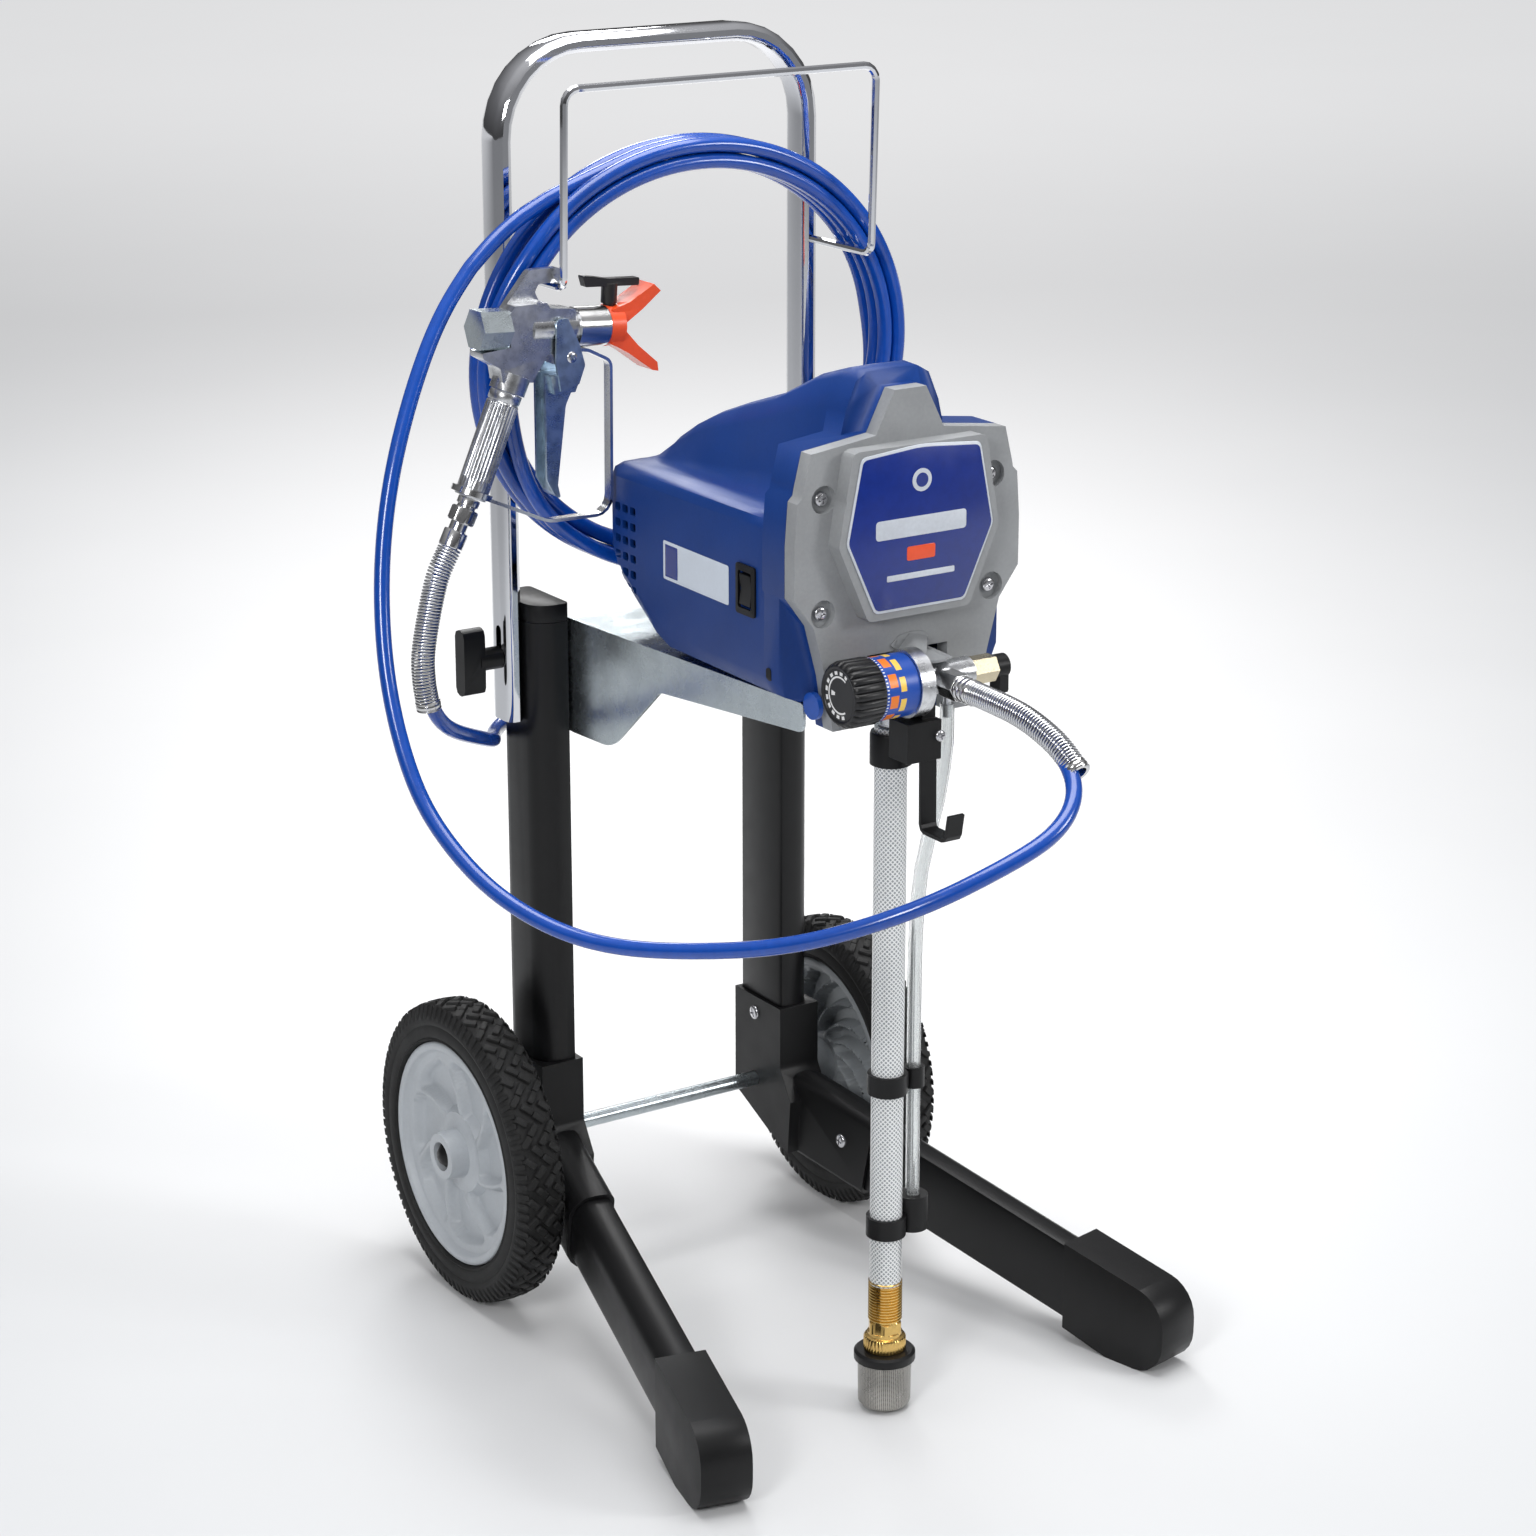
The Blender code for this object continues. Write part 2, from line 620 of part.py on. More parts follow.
def make_handle():
    x, y = HANDLE_X, -POST_AHEAD
    path = rounded([
        ((-x, y, HANDLE_END), 0), ((-x, y, HANDLE_TOP), HANDLE_CORNER),
        ((x, y, HANDLE_TOP), HANDLE_CORNER), ((x, y, HANDLE_END), 0),
    ], steps=8, closed=False)
    half_width, half_depth = HANDLE_TUBE_WIDTH / 2, HANDLE_TUBE_DEPTH / 2
    hoop = sweep("handle_hoop", pill(half_width, half_depth), path, (0, 1, 0), CHROME)
    slot_half = STUD_RADIUS + 2 * CLEARANCE
    slot = pill(slot_half, slot_half + HANDLE_TRAVEL / 2, 4)
    inside = pill(half_width - HANDLE_WALL, half_depth - HANDLE_WALL, 4)
    beyond = Vector((0, 0, 0.005))
    bore = [path[0] - beyond, *path[1:-1], path[-1] - beyond]
    cut(hoop, sweep("hoop_bore", inside, bore, (0, 1, 0), CHROME))
    for label, side in both_sides():
        middle = (side * x, y, KNOB_HEIGHT + HANDLE_TRAVEL / 2)
        cut(hoop, plate(f"slot_{label}", [slot], 0.03, middle, CHROME, "YZ"))


def make_rack():
    """The bent wire that the hose coil and the gun hang on."""
    start = POST_AHEAD + HANDLE_TUBE_DEPTH / 2 + CLEARANCE
    x = HANDLE_X
    path = rounded([
        ((-x, -start, RACK_ARM_HEIGHT), 0), ((-x, -RACK_REACH, RACK_ARM_HEIGHT), 0.009),
        ((-x, -RACK_REACH - 0.005, RACK_TOP), 0.012), ((x, -RACK_REACH - 0.005, RACK_TOP), 0.012),
        ((x, -RACK_REACH, RACK_ARM_HEIGHT), 0.009), ((x, -start, RACK_ARM_HEIGHT), 0),
    ], steps=4, closed=False)
    tube("hose_rack", path, RACK_WIRE, CHROME)


def make_clamp_knobs():
    """Winged knobs whose studs run through the handle's slots into the posts."""
    face = HANDLE_X + HANDLE_TUBE_WIDTH / 2 + CLEARANCE
    stud = face - POST_OUTER + 0.012
    profile = [
        (0, 0.020), (0.009, 0.020), (0.009, 0.0), (STUD_RADIUS, 0.0), (STUD_RADIUS, -stud), (0, -stud),
    ]
    wing = rounded([
        ((-0.0075, -0.027), 0.006), ((0.0075, -0.027), 0.006), ((0.0075, 0.027), 0.006),
        ((-0.0075, 0.027), 0.006),
    ], steps=3)
    for label, side in both_sides():
        centre = (side * face, -POST_AHEAD, KNOB_HEIGHT)
        knob = turned(f"clamp_knob_{label}", profile, centre, (side, 0, 0), BLACK_PLASTIC, steps=20)
        middle = (side * (face + 0.0255), -POST_AHEAD, KNOB_HEIGHT)
        join(knob, plate(f"wing_{label}", [wing], 0.019, middle, BLACK_PLASTIC, "YZ"))
        hole = (side * (POST_OUTER - 0.005), -POST_AHEAD, KNOB_HEIGHT)
        radius = STUD_RADIUS + CLEARANCE
        socket = cylinder(f"stud_hole_{label}", radius, 0.03, hole, (1, 0, 0), STEEL, 16)
        cut(bpy.data.objects[f"post_{label}"], socket)


# ---- Casing --------------------------------------------------------------------------------
CASE_SHAPE = (  # distance ahead; floor, half width, shoulder, crown, half widths of the hump
    (0.0880, 0.6400, 0.0900, 0.7080, 0.7090, 0.064, 0.046),
    (0.0920, 0.6300, 0.0930, 0.7125, 0.7135, 0.066, 0.047),
    (0.1010, 0.6170, 0.0940, 0.7140, 0.7170, 0.069, 0.049),
    (0.1250, 0.6010, 0.0945, 0.7142, 0.7350, 0.070, 0.051),
    (0.1500, 0.5850, 0.0950, 0.7145, 0.7500, 0.070, 0.051),
    (0.1700, 0.5785, 0.0955, 0.7148, 0.7600, 0.070, 0.050),
    (0.2050, 0.5785, 0.0960, 0.7150, 0.7730, 0.070, 0.048),
    (0.2450, 0.5785, 0.0970, 0.7155, 0.7865, 0.069, 0.044),
    (0.2850, 0.5785, 0.0975, 0.7160, 0.8070, 0.067, 0.038),
    (0.3130, 0.5785, 0.0980, 0.7160, 0.8160, 0.064, 0.034),
    (0.3335, 0.5785, 0.0980, 0.7160, 0.8160, 0.062, 0.032),
)
COVER_SIDE = (  # half widths of the front cover at heights, from the bottom up
    (0.0660, 0.5590), (0.0725, 0.6000), (0.0830, 0.6390), (0.1000, 0.6620), (0.1000, 0.7000),
    (0.0975, 0.7330), (0.0935, 0.7370), (0.0925, 0.7420), (0.0860, 0.7680), (0.0300, 0.7750),
    (0.0140, 0.8065),
)


def case_outline(row, wall):
    """One cross-section of the casing, made smaller all round by a wall."""
    _, floor, half, shoulder, crown, base, top = row
    floor += wall
    half -= wall
    shoulder -= wall
    crown -= wall
    base -= wall
    top -= wall
    rise = max(crown - shoulder, 0.0)
    side = [
        (half - 0.018, floor), (half - 0.0055, floor + 0.005), (half, floor + 0.018),
        (half, shoulder - 0.010), (half - 0.003, shoulder - 0.003), (half - 0.011, shoulder),
        (base, shoulder + 0.0004), (base - 0.3 * (base - top), shoulder + 0.24 * rise),
        (base - 0.7 * (base - top), shoulder + 0.74 * rise), (top, shoulder + 0.95 * rise),
        (top - 0.010, crown + 0.0008), (0.0, crown + 0.0012),
    ]
    return side + [(-x, z) for x, z in reversed(side[:-1])]


def loft(name, rows, wall, surface):
    bm = bmesh.new()
    rings = []
    for row in rows:
        rings.append([bm.verts.new((x, -row[0], z)) for x, z in case_outline(row, wall)])
    for back, front in zip(rings, rings[1:]):
        for index in range(len(back)):
            after = (index + 1) % len(back)
            bm.faces.new((back[index], back[after], front[after], front[index]))
    bm.faces.new(rings[0])
    bm.faces.new(rings[-1])
    bmesh.ops.recalc_face_normals(bm, faces=bm.faces)
    return smooth(finish(mesh_from(name, bm), surface))


def cover_outline(inset=0.0, lowest=0.0):
    """The front cover's outline, made smaller all round; lowest cuts its bottom off."""
    points = [(width - inset, height) for width, height in COVER_SIDE]
    points[-1] = (points[-1][0] + inset / 2, points[-1][1] - inset)
    points[-2] = (points[-2][0], points[-2][1] - inset)
    points[-3] = (points[-3][0], points[-3][1] - inset)
    points = [(x, max(z, lowest)) for x, z in points]
    return [(-x, z) for x, z in points] + [(x, z) for x, z in reversed(points)]


def make_shroud():
    shroud = loft("rear_shroud", CASE_SHAPE, 0.0, SHROUD_BLUE)
    wall = SHROUD_WALL
    collar_depth = SHROUD_FRONT - COLLAR_START
    middle = (0, -(SHROUD_FRONT + COLLAR_START) / 2, 0)
    collar = plate("collar", [cover_outline(0, 0.62)], collar_depth, middle, SHROUD_BLUE)
    lip_middle = (0, -(SHROUD_FRONT + LIP_START) / 2, 0)
    lip = plate("lip", [cover_outline(0.0003)], SHROUD_FRONT - LIP_START, lip_middle, SHROUD_BLUE)
    lip.location.y += 0.0002
    x, y = -0.0905, -SWITCH_AHEAD
    block_size = (0.013, ROCKER_WIDTH + 0.010, ROCKER_LENGTH + 0.010)
    block = box("switch_block", block_size, (x, y, SWITCH_HEIGHT), SHROUD_BLUE)
    join(shroud, collar, lip)
    rear, front = CASE_SHAPE[0], CASE_SHAPE[-1]
    inner = [(rear[0] + wall, *rear[1:]), *CASE_SHAPE[2:-1], (front[0] - wall, *front[1:])]
    opening = plate("collar_hollow", [cover_outline(wall, 0.62 + wall)], collar_depth, middle, SHROUD_BLUE)
    opening.location.y -= wall
    lip_hollow = [(-0.060, 0.5900), (-0.072, 0.640), (0.072, 0.640), (0.060, 0.5900)]
    through = plate("lip_hollow", [lip_hollow], 0.03, (0, -SHROUD_FRONT, 0), SHROUD_BLUE)
    cut(shroud, loft("case_hollow", inner, wall, SHROUD_BLUE), opening, through)
    join(shroud, block)
    for index, ahead in enumerate((MOTOR_REAR + 0.030, MOTOR_REAR + MOTOR_LENGTH - 0.020)):
        size = (0.060, 0.004, MOTOR_LIFT + 0.024)
        centre = (0, -ahead, CASE_FLOOR - 0.001 + size[2] / 2)
        join(shroud, box(f"saddle_{index}", size, centre, SHROUD_BLUE))
    motor_y = -(MOTOR_REAR + MOTOR_LENGTH / 2)
    window = (0.05, ROCKER_WIDTH + 2 * CLEARANCE, ROCKER_LENGTH + 0.0034)
    notch = [(-0.036, 0.550), (0.036, 0.550), (0.036, 0.612), (-0.036, 0.612)]
    inlet = (0.095, -CORD_AHEAD, CORD_HEIGHT)
    cut(
        shroud,
        cylinder("motor_seat", MOTOR_RADIUS + CLEARANCE, MOTOR_LENGTH + 0.002,
                 (0, motor_y, MOTOR_HEIGHT), (0, 1, 0), STEEL, 40),
        box("switch_window", window, (x, y, SWITCH_HEIGHT), STEEL),
        cylinder("pin_hole", PIN_RADIUS + CLEARANCE, ROCKER_WIDTH + 0.006, (ROCKER_X, y, SWITCH_HEIGHT),
                 (0, 1, 0), STEEL, 12),
        plate("pump_notch", [notch], 0.03, (0, -SHROUD_FRONT + 0.001, 0), STEEL),
        cylinder("inlet_hole", 0.009 + CLEARANCE, 0.02, inlet, (1, 0, 0), STEEL, 20),
        cylinder("plunger_hole", 0.0035 + CLEARANCE, 0.03, (-0.060, -BUTTON_AHEAD, BUTTON_HEIGHT),
                 (1, 0, 0), STEEL, 12),
    )


CORD_AHEAD = 0.150
CORD_HEIGHT = 0.640
PIN_RADIUS = 0.0014
ROCKER_X = -0.0920
BUTTON_AHEAD = 0.3385
BUTTON_HEIGHT = 0.578
SCREW_PLACES = ((-0.075, 0.7335), (-0.075, 0.6490), (0.075, 0.7335), (0.075, 0.6490))


def make_front_cover():
    back = SHROUD_FRONT + CLEARANCE
    middle = (0, -(back + COVER_BASE / 2), 0)
    cover = plate("front_cover", [cover_outline()], COVER_BASE, middle, COVER_GREY)
    face = [(0.0450, 0.6415), (0.0710, 0.7000), (0.0590, 0.7685)]
    raised = [((-x, z), 0.006) for x, z in face] + [((x, z), 0.006) for x, z in reversed(face)]
    front = (0, -(back + COVER_BASE + COVER_RAISE / 2 - 0.001), 0)
    plateau = plate("cover_face", [rounded(raised, steps=2)], COVER_RAISE + 0.002, front, COVER_GREY)
    join(cover, plateau)
    depth = COVER_BASE + COVER_RAISE - COVER_WALL
    hollow = [(0.0400, 0.6500), (0.0600, 0.7000), (0.0520, 0.7600)]
    pocket = [(-x, z) for x, z in hollow] + [(x, z) for x, z in reversed(hollow)]
    notch = [(-0.036, 0.540), (0.036, 0.540), (0.036, 0.612), (-0.036, 0.612)]
    cut(
        cover,
        plate("cover_pocket", [pocket], depth, (0, -(back + depth / 2 - 0.0005), 0), COVER_GREY),
        plate("cover_notch", [notch], 0.05, middle, COVER_GREY),
    )
    seat = back + COVER_BASE - 0.005
    for index, (x, z) in enumerate(SCREW_PLACES, 1):
        recess = cylinder(f"recess_{index}", 0.0105, 0.030, (x, -seat - 0.015, z), (0, 1, 0), STEEL, 20)
        hole = cylinder(f"screw_hole_{index}", 0.002 + CLEARANCE, 0.014, (x, -seat, z), (0, 1, 0), STEEL, 12)
        cut(cover, recess, hole)
        head = [
            (0, 0.0032), (0.0035, 0.0029), (SCREW_HEAD, 0.0016), (SCREW_HEAD, 0), (0.002, 0),
            (0.002, -0.0065), (0, -0.0065),
        ]
        turned(f"cover_screw_{index}", head, (x, -seat - CLEARANCE, z), (0, -1, 0), STEEL, steps=16)


def make_controls():
    """The rocker switch on the left side, the prime button and the power cord's inlet."""
    place = (ROCKER_X, -SWITCH_AHEAD, SWITCH_HEIGHT)
    half = ROCKER_LENGTH / 2
    wedge = rounded([
        ((0.0045, -half + 0.001), 0.001), ((-0.0080, -half), 0.001), ((-0.0064, 0.0), 0.0),
        ((-0.0080, half), 0.001), ((0.0045, half - 0.001), 0.001),
    ], steps=2)
    rocker = plate("power_rocker", [wedge], ROCKER_WIDTH, place, BLACK_PLASTIC)
    join(rocker, cylinder("rocker_pin", PIN_RADIUS, ROCKER_WIDTH + 0.005, place, (0, 1, 0), STEEL, 12))
    centre = (-0.0742, -0.3455, BUTTON_HEIGHT)
    disc = cylinder("push_prime_button", 0.0102, 0.004, (centre[0] - 0.002, centre[1], centre[2]),
                    (1, 0, 0), HOSE_BLUE, 24)
    stem = cylinder("plunger", 0.0035, 0.016, (centre[0] + 0.006, -BUTTON_AHEAD, BUTTON_HEIGHT),
                    (1, 0, 0), STEEL, 12)
    join(disc, stem)
    gland = [
        (0.0115, 0.0045), (0.0130, 0.0035), (0.0130, 0), (0.009, 0), (0.009, -0.008), (0.005, -0.008),
        (0.005, 0.0045),
    ]
    outside = 0.0972
    turned("cord_inlet", gland, (outside, -CORD_AHEAD, CORD_HEIGHT), (1, 0, 0), BLACK_PLASTIC, 20, True)


# ---- Drive and hydraulics -------------------------------------------------------------------
def make_drive():
    """Motor, gear and piston inside the casing."""
    rear = (0, -MOTOR_REAR, MOTOR_HEIGHT)
    wall, length, hole = 0.005, MOTOR_LENGTH, SHAFT_RADIUS + CLEARANCE
    can = [
        (MOTOR_RADIUS, length), (MOTOR_RADIUS, 0), (hole, 0), (hole, wall), (MOTOR_BORE, wall),
        (MOTOR_BORE, length - wall), (hole, length - wall), (hole, length),
    ]
    motor = turned("motor_can", can, rear, (0, -1, 0), STEEL, steps=32, closed=True)
    nose = GEAR_AHEAD + GEAR_WIDTH / 2 - MOTOR_REAR
    pinion = nose - GEAR_WIDTH
    rotor = [
        (0, nose), (PINION_RADIUS, nose), (PINION_RADIUS, pinion), (SHAFT_RADIUS, pinion),
        (SHAFT_RADIUS, length - 0.013), (ROTOR_RADIUS, length - 0.013), (ROTOR_RADIUS, 0.012),
        (SHAFT_RADIUS, 0.012), (SHAFT_RADIUS, -0.006), (0, -0.006),
    ]
    turned("motor_rotor", rotor, rear, (0, -1, 0), STEEL, steps=24)
    arbor = 0.0040
    depth = GEAR_AHEAD - GEAR_WIDTH / 2 - (MOTOR_REAR + MOTOR_LENGTH) + 0.008
    half = GEAR_WIDTH / 2
    gear = [
        (0, half), (GEAR_RADIUS, half), (GEAR_RADIUS, -half), (arbor, -half), (arbor, -half - depth),
        (0, -half - depth),
    ]
    centre = (0, -GEAR_AHEAD, GEAR_HEIGHT)
    drive = turned("drive_gear", gear, centre, (0, -1, 0), BRASS, steps=32)
    pin = (CRANK_OFFSET, -GEAR_AHEAD - half - 0.0025, GEAR_HEIGHT)
    join(drive, cylinder("crank_pin", 0.004, 0.007, pin, (0, 1, 0), STEEL, 14))
    bearing = (0, -MOTOR_REAR - MOTOR_LENGTH, GEAR_HEIGHT)
    cut(motor, cylinder("arbor_hole", arbor + CLEARANCE, 2 * (0.008 + CLEARANCE), bearing,
                        (0, 1, 0), STEEL, 16))
    low = MANIFOLD_HEIGHT + 0.018
    top = GEAR_HEIGHT
    yoke = box("pump_piston", (0.044, 0.0265, 0.018), (0, -PUMP_AHEAD + 0.0078, top), STEEL)
    rod = cylinder("piston_rod", ROD_RADIUS, top - low, (0, -PUMP_AHEAD, (top + low) / 2),
                   (0, 0, 1), STEEL, 20)
    join(yoke, rod)


def make_pump():
    """Pump cylinder, the block under it and the manifold across the front, as one casting."""
    y, z = -MANIFOLD_AHEAD, MANIFOLD_HEIGHT
    low = CASE_FLOOR + CLEARANCE
    flange_x = FLANGE_INNER
    pump = cylinder("pump_housing", 0.0135, PUMP_TOP - low, (0, -PUMP_AHEAD, (PUMP_TOP + low) / 2),
                    (0, 0, 1), ALUMINIUM, 28)
    reach = MANIFOLD_AHEAD - PUMP_AHEAD
    block = box("pump_block", (0.024, reach, 0.022), (0, -PUMP_AHEAD - reach / 2, z), ALUMINIUM)
    end = VALVE_START - CLEARANCE
    start = flange_x - 0.0125
    body = cylinder("manifold", MANIFOLD_RADIUS, end - start, ((end + start) / 2, y, z), (1, 0, 0),
                    ALUMINIUM, 24)
    flange = cylinder("knob_flange", FLANGE_RADIUS, 0.0125, (start + 0.00625, y, z), (1, 0, 0),
                      ALUMINIUM, 32)
    spindle_end = -0.070
    spindle = cylinder("spindle", SPINDLE_RADIUS, start - spindle_end + 0.002,
                       ((start + 0.002 + spindle_end) / 2, y, z), (1, 0, 0), ALUMINIUM, 16)
    port_low = SUCTION_TOP + CLEARANCE
    port = cylinder("suction_port", PORT_RADIUS, z - port_low,
                    (SUCTION_X, -SUCTION_AHEAD, (z + port_low) / 2), (0, 0, 1), ALUMINIUM, 24)
    barb = cylinder("suction_barb", BORE_RADIUS - CLEARANCE, 0.020,
                    (SUCTION_X, -SUCTION_AHEAD, SUCTION_TOP - 0.008), (0, 0, 1), ALUMINIUM, 20)
    drain = cylinder("drain_barb", DRAIN_BARB, z - DRAIN_TOP + 0.010,
                     (DRAIN_TOP_X, y, (z + DRAIN_TOP - 0.010) / 2), (0, 0, 1), ALUMINIUM, 14)
    boss = cylinder("outlet_boss", 0.0105, OUTLET_START - MANIFOLD_AHEAD,
                    (OUTLET_X, -(OUTLET_START + MANIFOLD_AHEAD) / 2, z), (0, 1, 0), ALUMINIUM, 20)
    join(pump, block, body, flange, spindle, port, barb, drain, boss)
    bore_at = (0, -PUMP_AHEAD, (PUMP_TOP + z) / 2 + 0.003)
    cut(pump, cylinder("rod_bore", ROD_RADIUS + CLEARANCE, PUMP_TOP - z, bore_at, (0, 0, 1), STEEL, 20))


FLANGE_INNER = -0.011
PORT_RADIUS = SUCTION_RADIUS - 0.0035  # the casting's port over the suction tube
VALVE_START = 0.035
OUTLET_START = 0.396
DRAIN_TOP = 0.574
DRAIN_TOP_X = 0.017
DRAIN_BORE = DRAIN_RADIUS - DRAIN_WALL
DRAIN_BARB = 0.8 * DRAIN_BORE


def make_manifold_fittings():
    """Pressure knob, scale ring, prime valve and lever, and the outlet nut."""
    y, z = -MANIFOLD_AHEAD, MANIFOLD_HEIGHT
    ring_end = FLANGE_INNER - 0.0125 - CLEARANCE
    ring_start = ring_end - SCALE_LENGTH
    hole = SPINDLE_RADIUS + CLEARANCE
    ring = [
        (SCALE_RADIUS, SCALE_LENGTH), (SCALE_RADIUS, 0), (hole, 0), (hole, SCALE_LENGTH),
    ]
    scale = turned("pressure_scale", ring, (ring_end, y, z), (-1, 0, 0), HOSE_BLUE, 32, True)
    cut(scale, cylinder("port_relief", PORT_RADIUS + CLEARANCE, z, (SUCTION_X, -SUCTION_AHEAD, z / 2),
                        (0, 0, 1), HOSE_BLUE, 24))
    knob_end = ring_start - CLEARANCE
    length = KNOB_LENGTH
    knob = [
        (0, length), (KNOB_RADIUS - 0.003, length), (KNOB_RADIUS, length - 0.003), (KNOB_RADIUS, 0),
        (hole, 0), (hole, knob_end + 0.070 + CLEARANCE), (0, knob_end + 0.070 + CLEARANCE),
    ]
    turned("pressure_knob", knob, (knob_end, y, z), (-1, 0, 0), BLACK_PLASTIC, 32)
    valve_length = 0.022
    valve_mid = VALVE_START + valve_length / 2
    cylinder("prime_valve", VALVE_RADIUS, valve_length, (valve_mid, y, z), (1, 0, 0), BRASS, 6)
    lever_start = VALVE_START + valve_length + CLEARANCE
    lever_mid = (lever_start + 0.0055, y, z)
    lever = cylinder("prime_lever", 0.009, 0.011, lever_mid, (1, 0, 0), BLACK_PLASTIC, 24)
    blade = rounded([
        ((-0.006, 0.006), 0.003), ((0.006, 0.006), 0.003), ((0.0065, -LEVER_LENGTH), 0.003),
        ((-0.0065, -LEVER_LENGTH), 0.003),
    ], steps=3)
    middle = (lever_start + 0.007, y, z)
    join(lever, plate("lever_blade", [blade], 0.008, middle, BLACK_PLASTIC, "YZ"))
    nut_mid = -(OUTLET_START + CLEARANCE + 0.010)
    cylinder("outlet_nut", 0.011, 0.020, (OUTLET_X, nut_mid, z), (0, 1, 0), STEEL, 6)


def make_pail_hook():
    """A block under the manifold with a strap that carries the paint pail."""
    y, z = -MANIFOLD_AHEAD, MANIFOLD_HEIGHT
    hook = box("pail_hook", (0.030, 0.024, 0.030), (-0.013, y - 0.002, 0.553), BLACK_PLASTIC)
    neck_low, neck_high = 0.560, z - MANIFOLD_RADIUS - CLEARANCE
    neck = box("hook_neck", (0.012, 0.014, neck_high - neck_low), (-0.0045, y, (neck_high + neck_low) / 2),
               BLACK_PLASTIC)
    line = rounded([
        ((y - 0.011, 0.560), 0.0), ((y - 0.012, 0.4845), 0.005), ((y - 0.043, 0.4845), 0.005),
        ((y - 0.047, 0.505), 0.0),
    ], steps=3, closed=False)
    outer, inner = [], []
    for index, point in enumerate(line):
        before, after = line[max(index - 1, 0)], line[min(index + 1, len(line) - 1)]
        run = (after - before).normalized()
        outer.append((point.x - run.y * 0.0015, point.y + run.x * 0.0015))
        inner.append((point.x + run.y * 0.0015, point.y - run.x * 0.0015))
    strap = plate("hook_strap", [outer + inner[::-1]], 0.014, (-0.008, 0, 0), BLACK_PLASTIC, "YZ")
    join(hook, neck, strap)


def make_suction():
    """Suction tube with its strainer, and the drain tube clipped beside it."""
    x, y = SUCTION_X, -SUCTION_AHEAD
    height = SUCTION_TOP - SUCTION_END
    ring = [
        (SUCTION_RADIUS, height), (SUCTION_RADIUS, 0), (BORE_RADIUS, 0), (BORE_RADIUS, height),
    ]
    turned("suction_tube", ring, (x, y, SUCTION_END), (0, 0, 1), CLEAR_TUBE, 28, True)
    top = SUCTION_END - CLEARANCE
    barb = BORE_RADIUS - CLEARANCE
    fitting = [
        (0, top + 0.016), (barb, top + 0.016), (barb, top), (0.0125, top), (0.0125, 0.078),
        (0.0145, 0.076), (0.0145, 0.064), (0.0165, 0.062), (0.0165, 0.0495), (0, 0.0495),
    ]
    turned("suction_fitting", fitting, (x, y, 0), (0, 0, 1), BRASS, steps=24)
    low = STRAINER_GROUND
    strainer = [
        (0, 0.0492), (0.0220, 0.0492), (0.0240, 0.0475), (0.0240, 0.0415), (0.0210, 0.0405),
        (0.0205, low + 0.003), (0.0180, low), (0, low),
    ]
    turned("strainer", strainer, (x, y, 0), (0, 0, 1), STEEL, steps=28)
    path = smooth_route([
        (DRAIN_TOP_X, -MANIFOLD_AHEAD, DRAIN_TOP), (DRAIN_TOP_X, -MANIFOLD_AHEAD, 0.545),
        (DRAIN_TOP_X - 0.001, -MANIFOLD_AHEAD + 0.008, 0.500),
        (DRAIN_X + 0.002, y - 0.004, 0.440), (DRAIN_X, y, 0.380), (DRAIN_X, y, 0.280), (DRAIN_X, y, 0.172),
    ], 0.030)
    drain = tube("drain_tube", path, DRAIN_RADIUS, CLEAR_TUBE)
    bore = [path[0] + Vector((0, 0, 0.004)), *path[1:-1], path[-1] - Vector((0, 0, 0.004))]
    cut(drain, tube("drain_bore", bore, DRAIN_BORE, CLEAR_TUBE, 1))
    for label, height, cup in (("upper", 0.272, 0.0), ("lower", 0.154, 0.004)):
        clip = cylinder(f"tube_clip_{label}", SUCTION_RADIUS + 0.003, 0.016, (x, y, height),
                        (0, 0, 1), BLACK_PLASTIC, 28)
        outer = DRAIN_RADIUS + 0.0028 + cup
        tall = 0.016 + 3 * cup
        middle = (DRAIN_X, y, height + 1.5 * cup)
        arm = box(f"clip_arm_{label}", (0.020, 0.008, 0.012), (x + SUCTION_RADIUS + 0.004, y, height),
                  BLACK_PLASTIC)
        join(clip, arm)
        join(clip, cylinder(f"drain_ring_{label}", outer, tall, middle, (0, 0, 1), BLACK_PLASTIC, 24))
        hole = 0.1 if cup == 0.0 else 0.026
        hole_mid = height if cup == 0.0 else 0.1717 + hole / 2
        cut(
            clip,
            cylinder(f"suction_hole_{label}", SUCTION_RADIUS + CLEARANCE, 0.05, (x, y, height),
                     (0, 0, 1), CLEAR_TUBE, 28),
            cylinder(f"drain_hole_{label}", DRAIN_RADIUS + CLEARANCE, hole, (DRAIN_X, y, hole_mid),
                     (0, 0, 1), CLEAR_TUBE, 20),
        )


